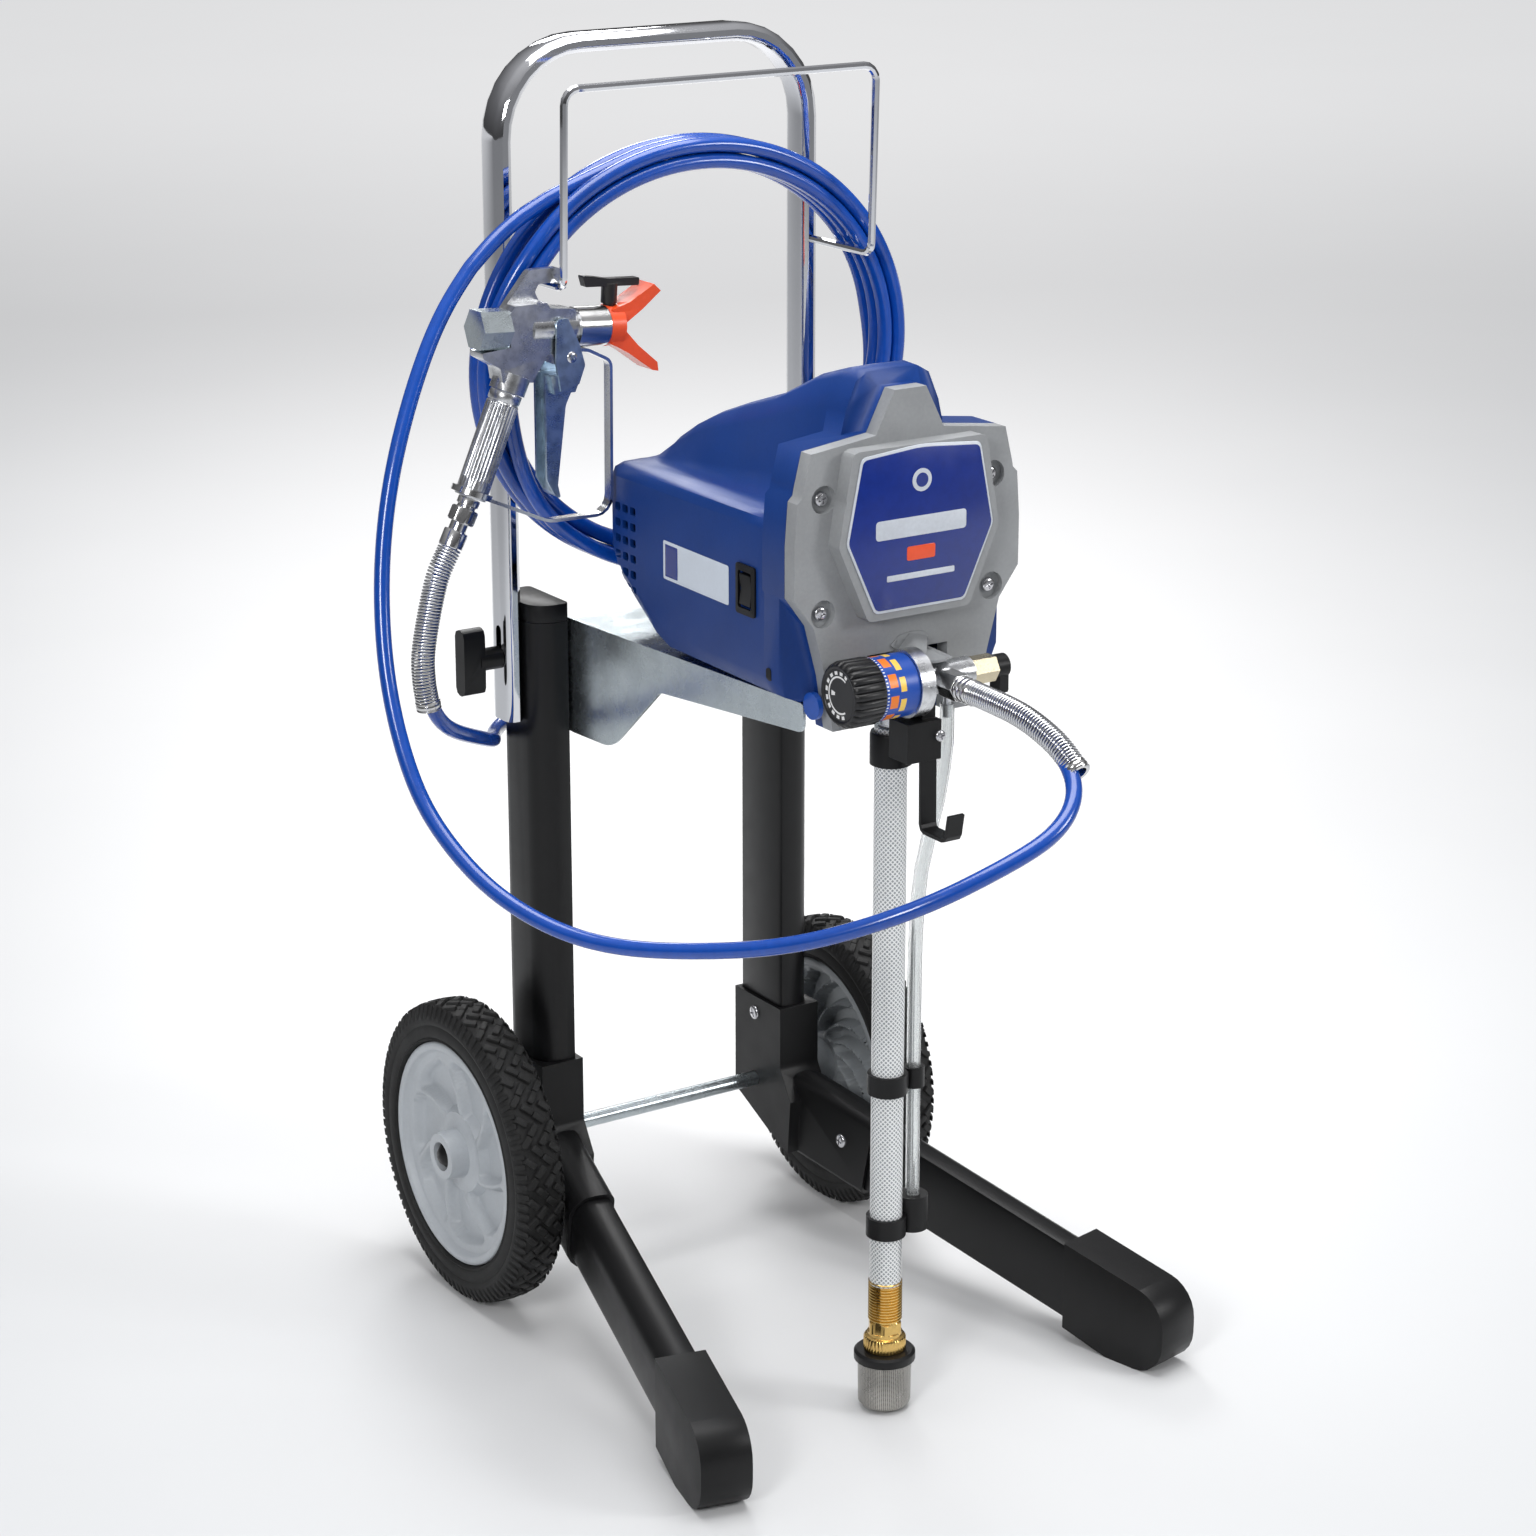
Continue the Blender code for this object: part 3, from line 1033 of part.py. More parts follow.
# ---- Hose ----------------------------------------------------------------------------------
PUMP_GUARD = (  # centre line of the coil spring over the hose at the pump
    (0.0060, -0.4168, 0.5950), (0.0064, -0.4450, 0.5950), (0.0099, -0.4850, 0.5905),
    (0.0137, -0.5180, 0.5788), (0.0154, -0.5420, 0.5630),
)
LOOP = (  # the free hose from the pump to the coil
    (0.0155, -0.5436, 0.5620), (0.0143, -0.5500, 0.5577), (0.0005, -0.5600, 0.5480),
    (-0.0209, -0.5700, 0.5325),
    (-0.0585, -0.5700, 0.5210), (-0.0944, -0.5580, 0.5034), (-0.1313, -0.5370, 0.4852),
    (-0.1906, -0.4750, 0.4542), (-0.2525, -0.3620, 0.4310), (-0.2850, -0.3050, 0.4395),
    (-0.3040, -0.2550, 0.4580), (-0.3160, -0.2200, 0.4862), (-0.3210, -0.1900, 0.5115),
    (-0.3200, -0.1500, 0.5730), (-0.3110, -0.1230, 0.6420), (-0.2950, -0.1070, 0.7125),
    (-0.2660, -0.0920, 0.7820), (-0.2280, -0.0770, 0.8440),
)
GUN_GUARD = (  # the spring over the hose at the gun
    (-0.2385, -0.0980, 0.6680), (-0.2515, -0.0980, 0.6420), (-0.2633, -0.0980, 0.5940),
    (-0.2642, -0.0980, 0.5670), (-0.2606, -0.0980, 0.5440),
)
TAIL = (  # the hose from the gun round behind the post to the coil
    (-0.2596, -0.0975, 0.5400), (-0.2540, -0.0940, 0.5290), (-0.2276, -0.0800, 0.5150),
    (-0.1939, -0.0550, 0.4983), (-0.1600, -0.0220, 0.4815), (-0.1480, 0.0120, 0.4740),
    (-0.1260, 0.0400, 0.4725), (-0.0900, 0.0520, 0.4830), (-0.0450, 0.0460, 0.5120),
    (0.0000, 0.0220, 0.5480), (0.0350, -0.0100, 0.5880), (0.0600, -0.0340, 0.5980),
)


def beside(route):
    """A hose route, moved outwards on the left with the handle's leg."""
    out = []
    for x, y, z in route:
        share = eased(-x / 0.14)
        out.append((x - SIDE_SHIFT * share, y, z))
    return out


def make_hose():
    spacing = 0.030
    tube("pump_spring_guard", smooth_route(PUMP_GUARD, 0.012), GUARD_RADIUS, STEEL, 3)
    tube("hose_loop", smooth_route(beside(LOOP), spacing), HOSE_RADIUS, HOSE_BLUE, 2)
    tube("gun_spring_guard", smooth_route(beside(GUN_GUARD), 0.014), GUARD_RADIUS, STEEL, 3)
    tube("hose_tail", smooth_route(beside(TAIL), spacing), HOSE_RADIUS, HOSE_BLUE, 2)
    half, deep = COIL_THICKNESS / 2, COIL_WIDTH / 2
    corner = 0.012
    outline = [(p.x, p.y) for p in rounded([
        ((-half, -deep), corner), ((half, -deep), corner), ((half, deep), corner), ((-half, deep), corner),
    ], steps=2)]
    path = []
    for index in range(COIL_STEPS):
        angle = 2 * math.pi * index / COIL_STEPS
        across = (COIL_INNER_X + half) * math.cos(angle)
        path.append(Vector((across, -COIL_AHEAD, COIL_HEIGHT + (COIL_RISE + half) * math.sin(angle))))
    sweep("hose_coil", outline, path, (0, 1, 0), HOSE_BLUE, closed=True)


# ---- Spray gun -----------------------------------------------------------------------------
def at_gun(x, z):
    """A place in the gun's plane, which moves sideways with the rack's left arm."""
    return Vector((x - SIDE_SHIFT, -GUN_AHEAD, z))


BARREL_TILT = math.radians(3.5)
BARREL_AXIS = (math.cos(BARREL_TILT), 0, -math.sin(BARREL_TILT))
PIVOT = (-0.1385, 0.8000)
NUT_END = (-0.1035, 0.8215)


def along_barrel(distance, aside=0.0):
    """A place on the barrel's axis, ahead of its nut, and above the axis."""
    along = Vector(BARREL_AXIS)
    above = Vector((math.sin(BARREL_TILT), 0, math.cos(BARREL_TILT)))
    return at_gun(*NUT_END) + along * distance + above * aside


def make_gun():
    wire_x, wire_z = -HANDLE_X + SIDE_SHIFT, RACK_ARM_HEIGHT
    fit = RACK_WIRE + 0.0006
    outline = rounded([
        ((-0.1890, 0.8395), 0.001), ((-0.1885, 0.8150), 0.0), ((-0.2125, 0.8131), 0.001),
        ((-0.2118, 0.8085), 0.001), ((-0.1975, 0.8000), 0.003), ((-0.1960, 0.7895), 0.0),
        ((-0.1700, 0.7865), 0.0), ((-0.1575, 0.8060), 0.004), ((-0.1320, 0.8085), 0.002),
        ((-0.1320, 0.8385), 0.002), ((-0.1545, 0.8410), 0.004), ((-0.1600, 0.8520), 0.003),
        ((-0.1565, wire_z + fit), 0.002), ((wire_x + fit, wire_z + fit), 0.001),
        ((wire_x + fit, wire_z - 0.002), 0.0), ((wire_x + fit + 0.0035, wire_z - 0.002), 0.001),
        ((wire_x + fit + 0.0035, 0.8660), 0.003), ((-0.1400, 0.8685), 0.003), ((-0.1640, 0.8690), 0.006),
    ], steps=2)
    shifted = [(p.x - SIDE_SHIFT, p.y) for p in outline]
    body = plate("gun_body", [shifted], GUN_THICKNESS, (0, -GUN_AHEAD, 0), ALUMINIUM)
    barrel = cylinder("barrel", BARREL_RADIUS, 0.040, along_barrel(-0.045), BARREL_AXIS, ALUMINIUM, 24)
    nut = cylinder("barrel_nut", 0.0155, 0.0262, along_barrel(-0.0131), BARREL_AXIS, ALUMINIUM, 24)
    cap = cylinder("rear_cap", 0.0165, 0.0250, at_gun(-0.2010, 0.8288), BARREL_AXIS, ALUMINIUM, 6)
    join(body, barrel, nut, cap)
    collar_top, grip_low = at_gun(-0.1830, 0.7900), at_gun(-0.2207, 0.7030)
    axis = collar_top - grip_low
    direction = axis.normalized()
    neck = cylinder("grip_collar", 0.0140, 0.014, collar_top - direction * 0.004, axis, ALUMINIUM, 24)
    join(body, neck)
    above_arm = box("hook_trim", (0.09, 0.04, 0.04), at_gun(-0.1450, RACK_ARM_HEIGHT + 0.0115), ALUMINIUM)
    above_arm.location.y = -RACK_REACH + 0.0087 - 0.02
    cut(body, above_arm)
    grip_top = collar_top - direction * (0.011 + CLEARANCE)
    length = (grip_top - grip_low).length
    grip = cylinder("gun_grip", GRIP_RADIUS, length, (grip_top + grip_low) / 2, axis, ALUMINIUM, 24)
    swivel_top = grip_low - direction * CLEARANCE
    swivel = cylinder("gun_swivel", 0.0095, 0.016, swivel_top - direction * 0.008, axis, STEEL, 6)
    join(swivel, cylinder("swivel_neck", 0.0070, 0.034, swivel_top - direction * 0.017, axis, STEEL, 20))
    make_trigger_guard(grip_low + direction * 0.004)
    make_trigger(body)
    make_tip()


def make_trigger_guard(ring_centre):
    """A flat strap from the barrel down in front of the trigger, with an eye round the grip."""
    line = rounded([
        (at_gun(-0.1314, 0.8066), 0), (at_gun(-0.1180, 0.8045), 0.006), (at_gun(-0.0985, 0.7945), 0.008),
        (at_gun(-0.0995, 0.6755), 0.014), (at_gun(-0.1550, 0.6765), 0.03), (at_gun(-0.2070, 0.7000), 0.0),
    ], steps=4, closed=False)
    outline = [(-0.00125, -0.0045), (0.00125, -0.0045), (0.00125, 0.0045), (-0.00125, 0.0045)]
    guard = sweep("trigger_guard", outline, line, (0, 1, 0), STEEL)
    axis = Vector((0.0377, 0, 0.0870))
    ring = cylinder("guard_eye", GRIP_RADIUS + 0.0035, 0.0045, ring_centre, axis, STEEL, 28)
    join(guard, ring)
    cut(
        guard,
        cylinder("grip_hole", GRIP_RADIUS + CLEARANCE, 0.03, ring_centre, axis, STEEL, 24),
        cylinder("nut_clear", 0.0155 + CLEARANCE, 0.0640, along_barrel(-0.032), BARREL_AXIS, STEEL, 24),
    )


def make_trigger(body):
    """A lever on a cross pin, with a cheek on each side of the gun's body."""
    x, z = PIVOT
    place = at_gun(x, z)
    half = BARREL_RADIUS + CLEARANCE
    thick = 0.0020
    cheek = rounded([
        ((-0.0100, -0.0220), 0.0), ((0.0060, -0.0180), 0.0), ((0.0115, -0.0040), 0.004),
        ((0.0070, 0.0120), 0.004), ((-0.0030, 0.0330), 0.003), ((-0.0125, 0.0330), 0.003),
        ((-0.0140, 0.0), 0.0),
    ], steps=2)
    blade = rounded([
        ((-0.0205, -0.0100), 0.0), ((0.0095, -0.0100), 0.002), ((-0.0030, -0.0340), 0.012),
        ((-0.0110, -0.0950), 0.002), ((-0.0085, -0.1060), 0.001), ((-0.0135, -0.1030), 0.002),
        ((-0.0205, -0.0900), 0.004),
    ], steps=2)
    yoke = [(-0.0180, -0.0100), (0.0095, -0.0100), (0.0030, -0.0240), (-0.0150, -0.0240)]
    trigger = plate("trigger", [blade], 0.0180, place, TRIGGER_STEEL)
    join(trigger, plate("trigger_yoke", [yoke], 2 * half + thick, place, TRIGGER_STEEL))
    for name, sign in (("front_cheek", -1), ("rear_cheek", 1)):
        middle = place + Vector((0, sign * (half + thick / 2), 0))
        join(trigger, plate(name, [cheek], thick, middle, TRIGGER_STEEL))
    channel = box("trigger_channel", (0.0170, 0.0130, 0.12), place + Vector((-0.0235, 0, -0.062)), STEEL)
    cut(trigger, channel)
    pin_at = place + Vector((0, 0, 0.003))
    pin_length = 2 * (half + thick)
    join(trigger, cylinder("trigger_pin", 0.0028, pin_length, pin_at, (0, 1, 0), STEEL, 16))
    lug = [(x - 0.012, z - 0.002), (x + 0.0065, z - 0.002), (x + 0.0065, z + 0.016), (x - 0.014, z + 0.016)]
    lug_plate = plate("trigger_lug", [lug], 0.0160, (-SIDE_SHIFT, -GUN_AHEAD, 0), ALUMINIUM)
    hole = cylinder("pin_bore", 0.0028 + CLEARANCE, 0.05, pin_at, (0, 1, 0), STEEL, 16)
    cut(join(body, lug_plate), hole)


WINGS = (  # outlines along and away from the barrel's axis: the upper wing, then the lower
    ((0.0020, 0.0130), (0.0125, 0.0010), (0.0290, 0.0130), (0.0443, 0.0263), (0.0380, 0.0317),
     (0.0180, 0.0190), (0.0080, 0.0155)),
    ((0.0020, -0.0130), (0.0125, -0.0010), (0.0266, -0.0150), (0.0440, -0.0284), (0.0453, -0.0353),
     (0.0400, -0.0345), (0.0180, -0.0205), (0.0080, -0.0155)),
)
TIP_ALONG = 0.0050


def make_tip():
    """Winged guard on the barrel's nut, and the reversible tip that plugs into it."""
    guard = cylinder("tip_guard", 0.0158, 0.0125, along_barrel(0.00625 + CLEARANCE), BARREL_AXIS,
                     GUARD_ORANGE, 28)
    tilt = Matrix.Rotation(BARREL_TILT, 3, "Y")
    for index, outline in enumerate(WINGS):
        join(guard, plate(f"wing_{index}", [outline], 0.022, along_barrel(0), GUARD_ORANGE, "XZ", tilt))
    above = Vector((math.sin(BARREL_TILT), 0, math.cos(BARREL_TILT)))
    bore_at, spray_at = along_barrel(TIP_ALONG, 0.0120), along_barrel(0.030)
    cut(
        guard,
        cylinder("tip_bore", TIP_RADIUS + CLEARANCE, 0.040, bore_at, above, STEEL, 16),
        cylinder("spray_hole", 0.0030, 0.050, spray_at, BARREL_AXIS, STEEL, 14),
        cylinder("collar_seat", TIP_COLLAR + 0.0006, 0.020, along_barrel(TIP_ALONG, 0.0265), above, STEEL, 20),
    )
    tip = cylinder("spray_tip", TIP_RADIUS, 0.0380, along_barrel(TIP_ALONG, 0.0115), above,
                   BLACK_PLASTIC, 16)
    head = cylinder("tip_collar", TIP_COLLAR, 0.0150, along_barrel(TIP_ALONG, 0.0245), above,
                    BLACK_PLASTIC, 20)
    bar_outline = rounded([
        ((-0.0230, -0.0035), 0.001), ((0.0240, -0.0035), 0.001), ((0.0240, 0.0025), 0.001),
        ((-0.0040, 0.0025), 0.001), ((-0.0140, 0.0040), 0.001), ((-0.0260, 0.0055), 0.001),
    ], steps=2)
    handle_at = along_barrel(TIP_ALONG, 0.0335)
    join(tip, head, plate("tip_handle", [bar_outline], 0.0080, handle_at, BLACK_PLASTIC, "XZ", tilt))


def main():
    make_posts()
    make_legs()
    make_shelf()
    make_wheels()
    make_handle()
    make_rack()
    make_clamp_knobs()
    make_shroud()
    make_front_cover()
    make_controls()
    make_drive()
    make_pump()
    make_manifold_fittings()
    make_pail_hook()
    make_suction()
    make_hose()
    make_gun()


main()
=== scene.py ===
"""Looks of an airless paint sprayer on a two-wheeled cart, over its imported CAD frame.

Every place is in metres. spot() takes places from the axle's middle, straight above the floor:
+X to the cart's right wheel, -Y ahead of the axle, Z from the floor.
"""

from __future__ import annotations

import json
import logging
import math
import random
from dataclasses import dataclass, field
from enum import Enum
from typing import Callable, Iterable, Mapping, Sequence

import bmesh
import bpy
from mathutils import Matrix, Vector
from mathutils.bvhtree import BVHTree

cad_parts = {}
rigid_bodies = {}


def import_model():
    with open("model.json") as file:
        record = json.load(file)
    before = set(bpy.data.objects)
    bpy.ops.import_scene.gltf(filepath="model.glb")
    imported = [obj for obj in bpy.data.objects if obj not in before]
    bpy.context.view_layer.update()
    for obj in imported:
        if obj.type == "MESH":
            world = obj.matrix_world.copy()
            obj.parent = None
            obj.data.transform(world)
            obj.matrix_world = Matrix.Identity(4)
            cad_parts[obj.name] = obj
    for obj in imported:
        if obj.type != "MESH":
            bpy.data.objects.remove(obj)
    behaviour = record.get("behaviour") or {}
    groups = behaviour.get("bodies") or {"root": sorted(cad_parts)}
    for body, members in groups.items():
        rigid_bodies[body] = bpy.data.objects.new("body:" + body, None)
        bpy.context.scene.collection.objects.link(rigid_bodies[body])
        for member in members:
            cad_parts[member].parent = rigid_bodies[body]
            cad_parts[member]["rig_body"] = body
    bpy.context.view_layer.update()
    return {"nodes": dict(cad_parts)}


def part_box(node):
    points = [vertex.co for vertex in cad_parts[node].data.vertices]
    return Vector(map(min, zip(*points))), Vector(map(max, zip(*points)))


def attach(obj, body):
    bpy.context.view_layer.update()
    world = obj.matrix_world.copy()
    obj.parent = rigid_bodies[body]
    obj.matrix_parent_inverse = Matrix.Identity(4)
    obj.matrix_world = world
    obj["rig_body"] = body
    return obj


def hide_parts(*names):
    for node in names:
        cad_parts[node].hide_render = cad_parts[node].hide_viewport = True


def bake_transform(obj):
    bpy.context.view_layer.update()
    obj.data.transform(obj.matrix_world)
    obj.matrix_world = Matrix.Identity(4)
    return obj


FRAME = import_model()
LOG = logging.getLogger("sprayer")
AXLE_Y = (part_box("axle")[0].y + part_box("axle")[1].y) / 2
Colour = tuple[float, float, float]
Outline = Sequence[tuple[float, float]]


def spot(x: float, y: float, z: float) -> Vector:
    """A place in the row frame, from one measured at the axle."""
    return Vector((x, AXLE_Y + y, z))


class Body(Enum):
    """The rigid bodies that pieces ride on."""

    CART = "cart"
    WHEEL_LEFT = "wheel_left"
    WHEEL_RIGHT = "wheel_right"
    HANDLE = "handle"
    CLAMP_LEFT = "clamp_left"
    CLAMP_RIGHT = "clamp_right"
    DIAL = "pressure_dial"
    PRIME = "prime_handle"
    ROCKER = "rocker"
    BUTTON = "prime_button"
    TRIGGER = "gun_trigger"
    GUARD = "guard"
    TIP = "tip"
    ROTOR = "rotor"
    GEAR = "gear"
    PISTON = "piston"


class Side(Enum):
    """The two sides of the cart, with the sign of their X."""

    LEFT = -1
    RIGHT = 1

    @property
    def word(self) -> str:
        """The side's name as node names end."""
        return self.name.lower()


# ---- Shader maths --------------------------------------------------------------------------
class Value:
    """A number in a material, which Python's operators combine."""

    def __init__(self, graph: "Graph", socket: bpy.types.NodeSocket) -> None:
        """Wraps an output socket of graph."""
        self.graph = graph
        self.socket = socket

    def maths(self, operation: str, *others: "Value | float", first: bool = True) -> "Value":
        """Adds one Math node.

        Args:
            operation: the node's operation.
            others: the other numbers that it takes.
            first: whether this value comes before them.

        Returns:
            The result.
        """
        values = [self, *others] if first else [*others, self]
        made = self.graph.node("ShaderNodeMath", {"operation": operation}, dict(enumerate(values)))
        return Value(self.graph, made.outputs[0])

    def __add__(self, other: "Value | float") -> "Value":
        """self + other."""
        return self.maths("ADD", other)

    __radd__ = __add__

    def __mul__(self, other: "Value | float") -> "Value":
        """self * other."""
        return self.maths("MULTIPLY", other)

    __rmul__ = __mul__

    def __sub__(self, other: "Value | float") -> "Value":
        """self - other."""
        return self.maths("SUBTRACT", other)

    def __rsub__(self, other: "Value | float") -> "Value":
        """other - self."""
        return self.maths("SUBTRACT", other, first=False)

    def __truediv__(self, other: "Value | float") -> "Value":
        """self / other."""
        return self.maths("DIVIDE", other)

    def __rtruediv__(self, other: "Value | float") -> "Value":
        """other / self."""
        return self.maths("DIVIDE", other, first=False)

    def __pow__(self, other: "Value | float") -> "Value":
        """self ** other."""
        return self.maths("POWER", other)

    def __abs__(self) -> "Value":
        """The size of self."""
        return self.maths("ABSOLUTE")

    def above(self, limit: "Value | float") -> "Value":
        """1 where self is over limit, 0 elsewhere."""
        return self.maths("GREATER_THAN", limit)

    def below(self, limit: "Value | float") -> "Value":
        """1 where self is under limit, 0 elsewhere."""
        return self.maths("LESS_THAN", limit)

    def least(self, other: "Value | float") -> "Value":
        """The smaller of the two."""
        return self.maths("MINIMUM", other)

    def most(self, other: "Value | float") -> "Value":
        """The larger of the two."""
        return self.maths("MAXIMUM", other)

    def fraction(self) -> "Value":
        """What is left above the whole number."""
        return self.maths("FRACT")

    def between(self, low: float, high: float) -> "Value":
        """A smooth rise from 0 at low to 1 at high."""
        made = self.graph.node(
            "ShaderNodeMapRange",
            {"interpolation_type": "SMOOTHSTEP"},
            {"Value": self, "From Min": low, "From Max": high},
        )
        return Value(self.graph, made.outputs[0])


class Graph:
    """One material's nodes."""

    def __init__(self, name: str) -> None:
        """Starts an empty material.

        Args:
            name: its name.
        """
        self.material = bpy.data.materials.new(name)
        self.material.use_nodes = True
        self.tree = self.material.node_tree
        self.tree.nodes.clear()
        self._place: bpy.types.NodeSocket | None = None

    def node(
        self,
        kind: str,
        settings: Mapping[str, object] | None = None,
        inputs: Mapping[str | int, object] | None = None,
    ) -> bpy.types.Node:
        """Adds a node.

        Args:
            kind: its type.
            settings: its attributes, and "stops" for a ramp as (place, colour) pairs.
            inputs: numbers, colours, sockets or Values by socket name or number.

        Returns:
            The node.
        """
        made = self.tree.nodes.new(kind)
        for key, value in (settings or {}).items():
            if key != "stops":
                setattr(made, key, value)
                continue
            ramp = made.color_ramp
            while len(ramp.elements) < len(value):
                ramp.elements.new(0.5)
            for element, (place, colour) in zip(ramp.elements, value):
                element.position = place
                element.color = (*colour, 1.0)
        for key, value in (inputs or {}).items():
            if isinstance(value, Value):
                value = value.socket
            if isinstance(value, bpy.types.NodeSocket):
                self.tree.links.new(value, made.inputs[key])
            else:
                made.inputs[key].default_value = value
        return made

    def place(self) -> bpy.types.NodeSocket:
        """Where the surface is, in metres at rest."""
        if self._place is None:
            self._place = self.node("ShaderNodeTexCoord").outputs["Object"]
        return self._place

    def local(self, origin: Vector, turn: Sequence[float] = (0.0, 0.0, 0.0)) -> tuple[Value, Value, Value]:
        """The place from an origin, on axes turned about it.

        Args:
            origin: the new zero.
            turn: the angles by which the place is turned.

        Returns:
            The three distances.
        """
        moved = self.node(
            "ShaderNodeVectorMath", {"operation": "SUBTRACT"}, {0: self.place(), 1: tuple(origin)}
        )
        turned = self.node("ShaderNodeVectorRotate", {"rotation_type": "EULER_XYZ"}, {"Vector": moved.outputs[0]})
        turned.inputs["Rotation"].default_value = tuple(turn)
        parts = self.node("ShaderNodeSeparateXYZ", None, {0: turned.outputs[0]})
        return Value(self, parts.outputs[0]), Value(self, parts.outputs[1]), Value(self, parts.outputs[2])

    def polar(self, across: Value, along: Value) -> tuple[Value, Value]:
        """The radius, and the turn from 0 to 1, of a place in a plane."""
        radius = (across * across + along * along).maths("SQRT")
        turn = along.maths("ARCTAN2", across) / (2 * math.pi) + 0.5
        return radius, turn

    def noise(self, size: float, detail: float = 3.0, stretch: Sequence[float] = (1.0, 1.0, 1.0)) -> Value:
        """Soft random values round 0.5.

        Args:
            size: the width of a blot in metres.
            detail: how many finer layers it has.
            stretch: how many times finer it is along each axis.

        Returns:
            The value.
        """
        scaled = self.node("ShaderNodeVectorMath", {"operation": "MULTIPLY"}, {0: self.place(), 1: tuple(stretch)})
        made = self.node(
            "ShaderNodeTexNoise", None, {"Vector": scaled.outputs[0], "Scale": 1 / size, "Detail": detail}
        )
        return Value(self, made.outputs[0])

    def cells(self, size: float) -> Value:
        """The distance to the nearest of points about a size apart, in those sizes."""
        made = self.node("ShaderNodeTexVoronoi", None, {"Vector": self.place(), "Scale": 1 / size})
        return Value(self, made.outputs["Distance"])

    def mix(self, share: Value | float, low: object, high: object) -> bpy.types.NodeSocket:
        """A colour between two.

        Args:
            share: 0 for low and 1 for high.
            low: a colour or a socket.
            high: a colour or a socket.

        Returns:
            The colour's socket.
        """
        low = (*low, 1.0) if isinstance(low, tuple) else low
        high = (*high, 1.0) if isinstance(high, tuple) else high
        made = self.node("ShaderNodeMix", {"data_type": "RGBA"}, {0: share, 6: low, 7: high})
        return made.outputs[2]

    def bump(self, height: Value, metres: float, over: bpy.types.NodeSocket | None = None) -> bpy.types.NodeSocket:
        """The normal of a surface that height raises.

        Args:
            height: 0 to 1.
            metres: how far 1 stands up.
            over: a normal that it adds to.

        Returns:
            The normal's socket.
        """
        inputs: dict[str | int, object] = {"Height": height, "Distance": metres, "Strength": 1.0}
        if over is not None:
            inputs["Normal"] = over
        return self.node("ShaderNodeBump", None, inputs).outputs[0]

    def surface(self, **sockets: object) -> bpy.types.Material:
        """Ends the graph in one Principled shader.

        Args:
            sockets: its inputs, with _ for a space.

        Returns:
            The material.
        """
        inputs = {}
        for key, value in sockets.items():
            if isinstance(value, tuple) and len(value) == 3:
                value = (*value, 1.0)
            inputs[key.replace("_", " ")] = value
        shader = self.node("ShaderNodeBsdfPrincipled", None, inputs)
        self.node("ShaderNodeOutputMaterial", None, {"Surface": shader.outputs[0]})
        return self.material


# ---- Finishes ------------------------------------------------------------------------------
@dataclass(frozen=True)
class Finish:
    """A moulded, coated or metal surface with fine grain, soft blotches and handling marks."""

    name: str
    slot: str
    colour: Colour
    roughness: float
    metallic: float = 0.0
    coat: float = 0.0
    coat_roughness: float = 0.1
    grain: float = 0.00004
    grain_size: float = 0.0012
    shade: float = 0.10
    marks: float = 0.08
    specular: float = 0.5

    def tint(self, graph: Graph) -> bpy.types.NodeSocket:
        """The colour, a little lighter and darker in broad blotches and fine specks.

        Args:
            graph: the material's nodes.

        Returns:
            The colour's socket.
        """
        blotches = graph.noise(0.045, 4.0) * 0.7 + graph.noise(0.003, 2.0) * 0.3
        dark = tuple(part * (1 - self.shade) for part in self.colour)
        light = tuple(min(1.0, part * (1 + self.shade)) for part in self.colour)
        return graph.mix(blotches.between(0.3, 0.7), dark, light)

    def gloss(self, graph: Graph) -> Value:
        """The roughness, with rubbed patches and fine scratches."""
        patches = graph.noise(0.02, 5.0) - 0.5
        scratches = graph.noise(0.002, 3.0, (1.0, 1.0, 12.0)) - 0.5
        return (patches * (2 * self.marks) + scratches * self.marks + self.roughness).most(0.02)

    def relief(self, graph: Graph) -> bpy.types.NodeSocket:
        """The normal over moulded grain."""
        return graph.bump(graph.noise(self.grain_size, 3.0), self.grain)

    def build(self) -> bpy.types.Material:
        """Makes the material."""
        graph = Graph(self.name)
        return graph.surface(
            Base_Color=self.tint(graph),
            Roughness=self.gloss(graph),
            Metallic=self.metallic,
            Normal=self.relief(graph),
            Coat_Weight=self.coat,
            Coat_Roughness=self.coat_roughness,
            Specular_IOR_Level=self.specular,
        )


@dataclass(frozen=True)
class Plating(Finish):
    """Bright zinc with the soft frost of its crystals and a cool cast."""

    def tint(self, graph: Graph) -> bpy.types.NodeSocket:
        """Cloudy silver, with pale crystals.

        Args:
            graph: the material's nodes.

        Returns:
            The colour's socket.
        """
        clouds = graph.noise(0.03, 5.0).between(0.35, 0.65)
        crystals = graph.cells(0.004).between(0.1, 0.6)
        warm = tuple(part * 0.86 for part in self.colour)
        return graph.mix(clouds * 0.6 + crystals * 0.4, warm, self.colour)


@dataclass(frozen=True)
class Rubber(Finish):
    """Black rubber with dust in its fine pores."""

    def tint(self, graph: Graph) -> bpy.types.NodeSocket:
        """Black, greyer where dust lies."""
        dust = graph.noise(0.012, 5.0).between(0.45, 0.75) * 0.5 + graph.noise(0.0015, 2.0).between(0.5, 0.8) * 0.5
        return graph.mix(dust, self.colour, tuple(part * 2.2 + 0.004 for part in self.colour))


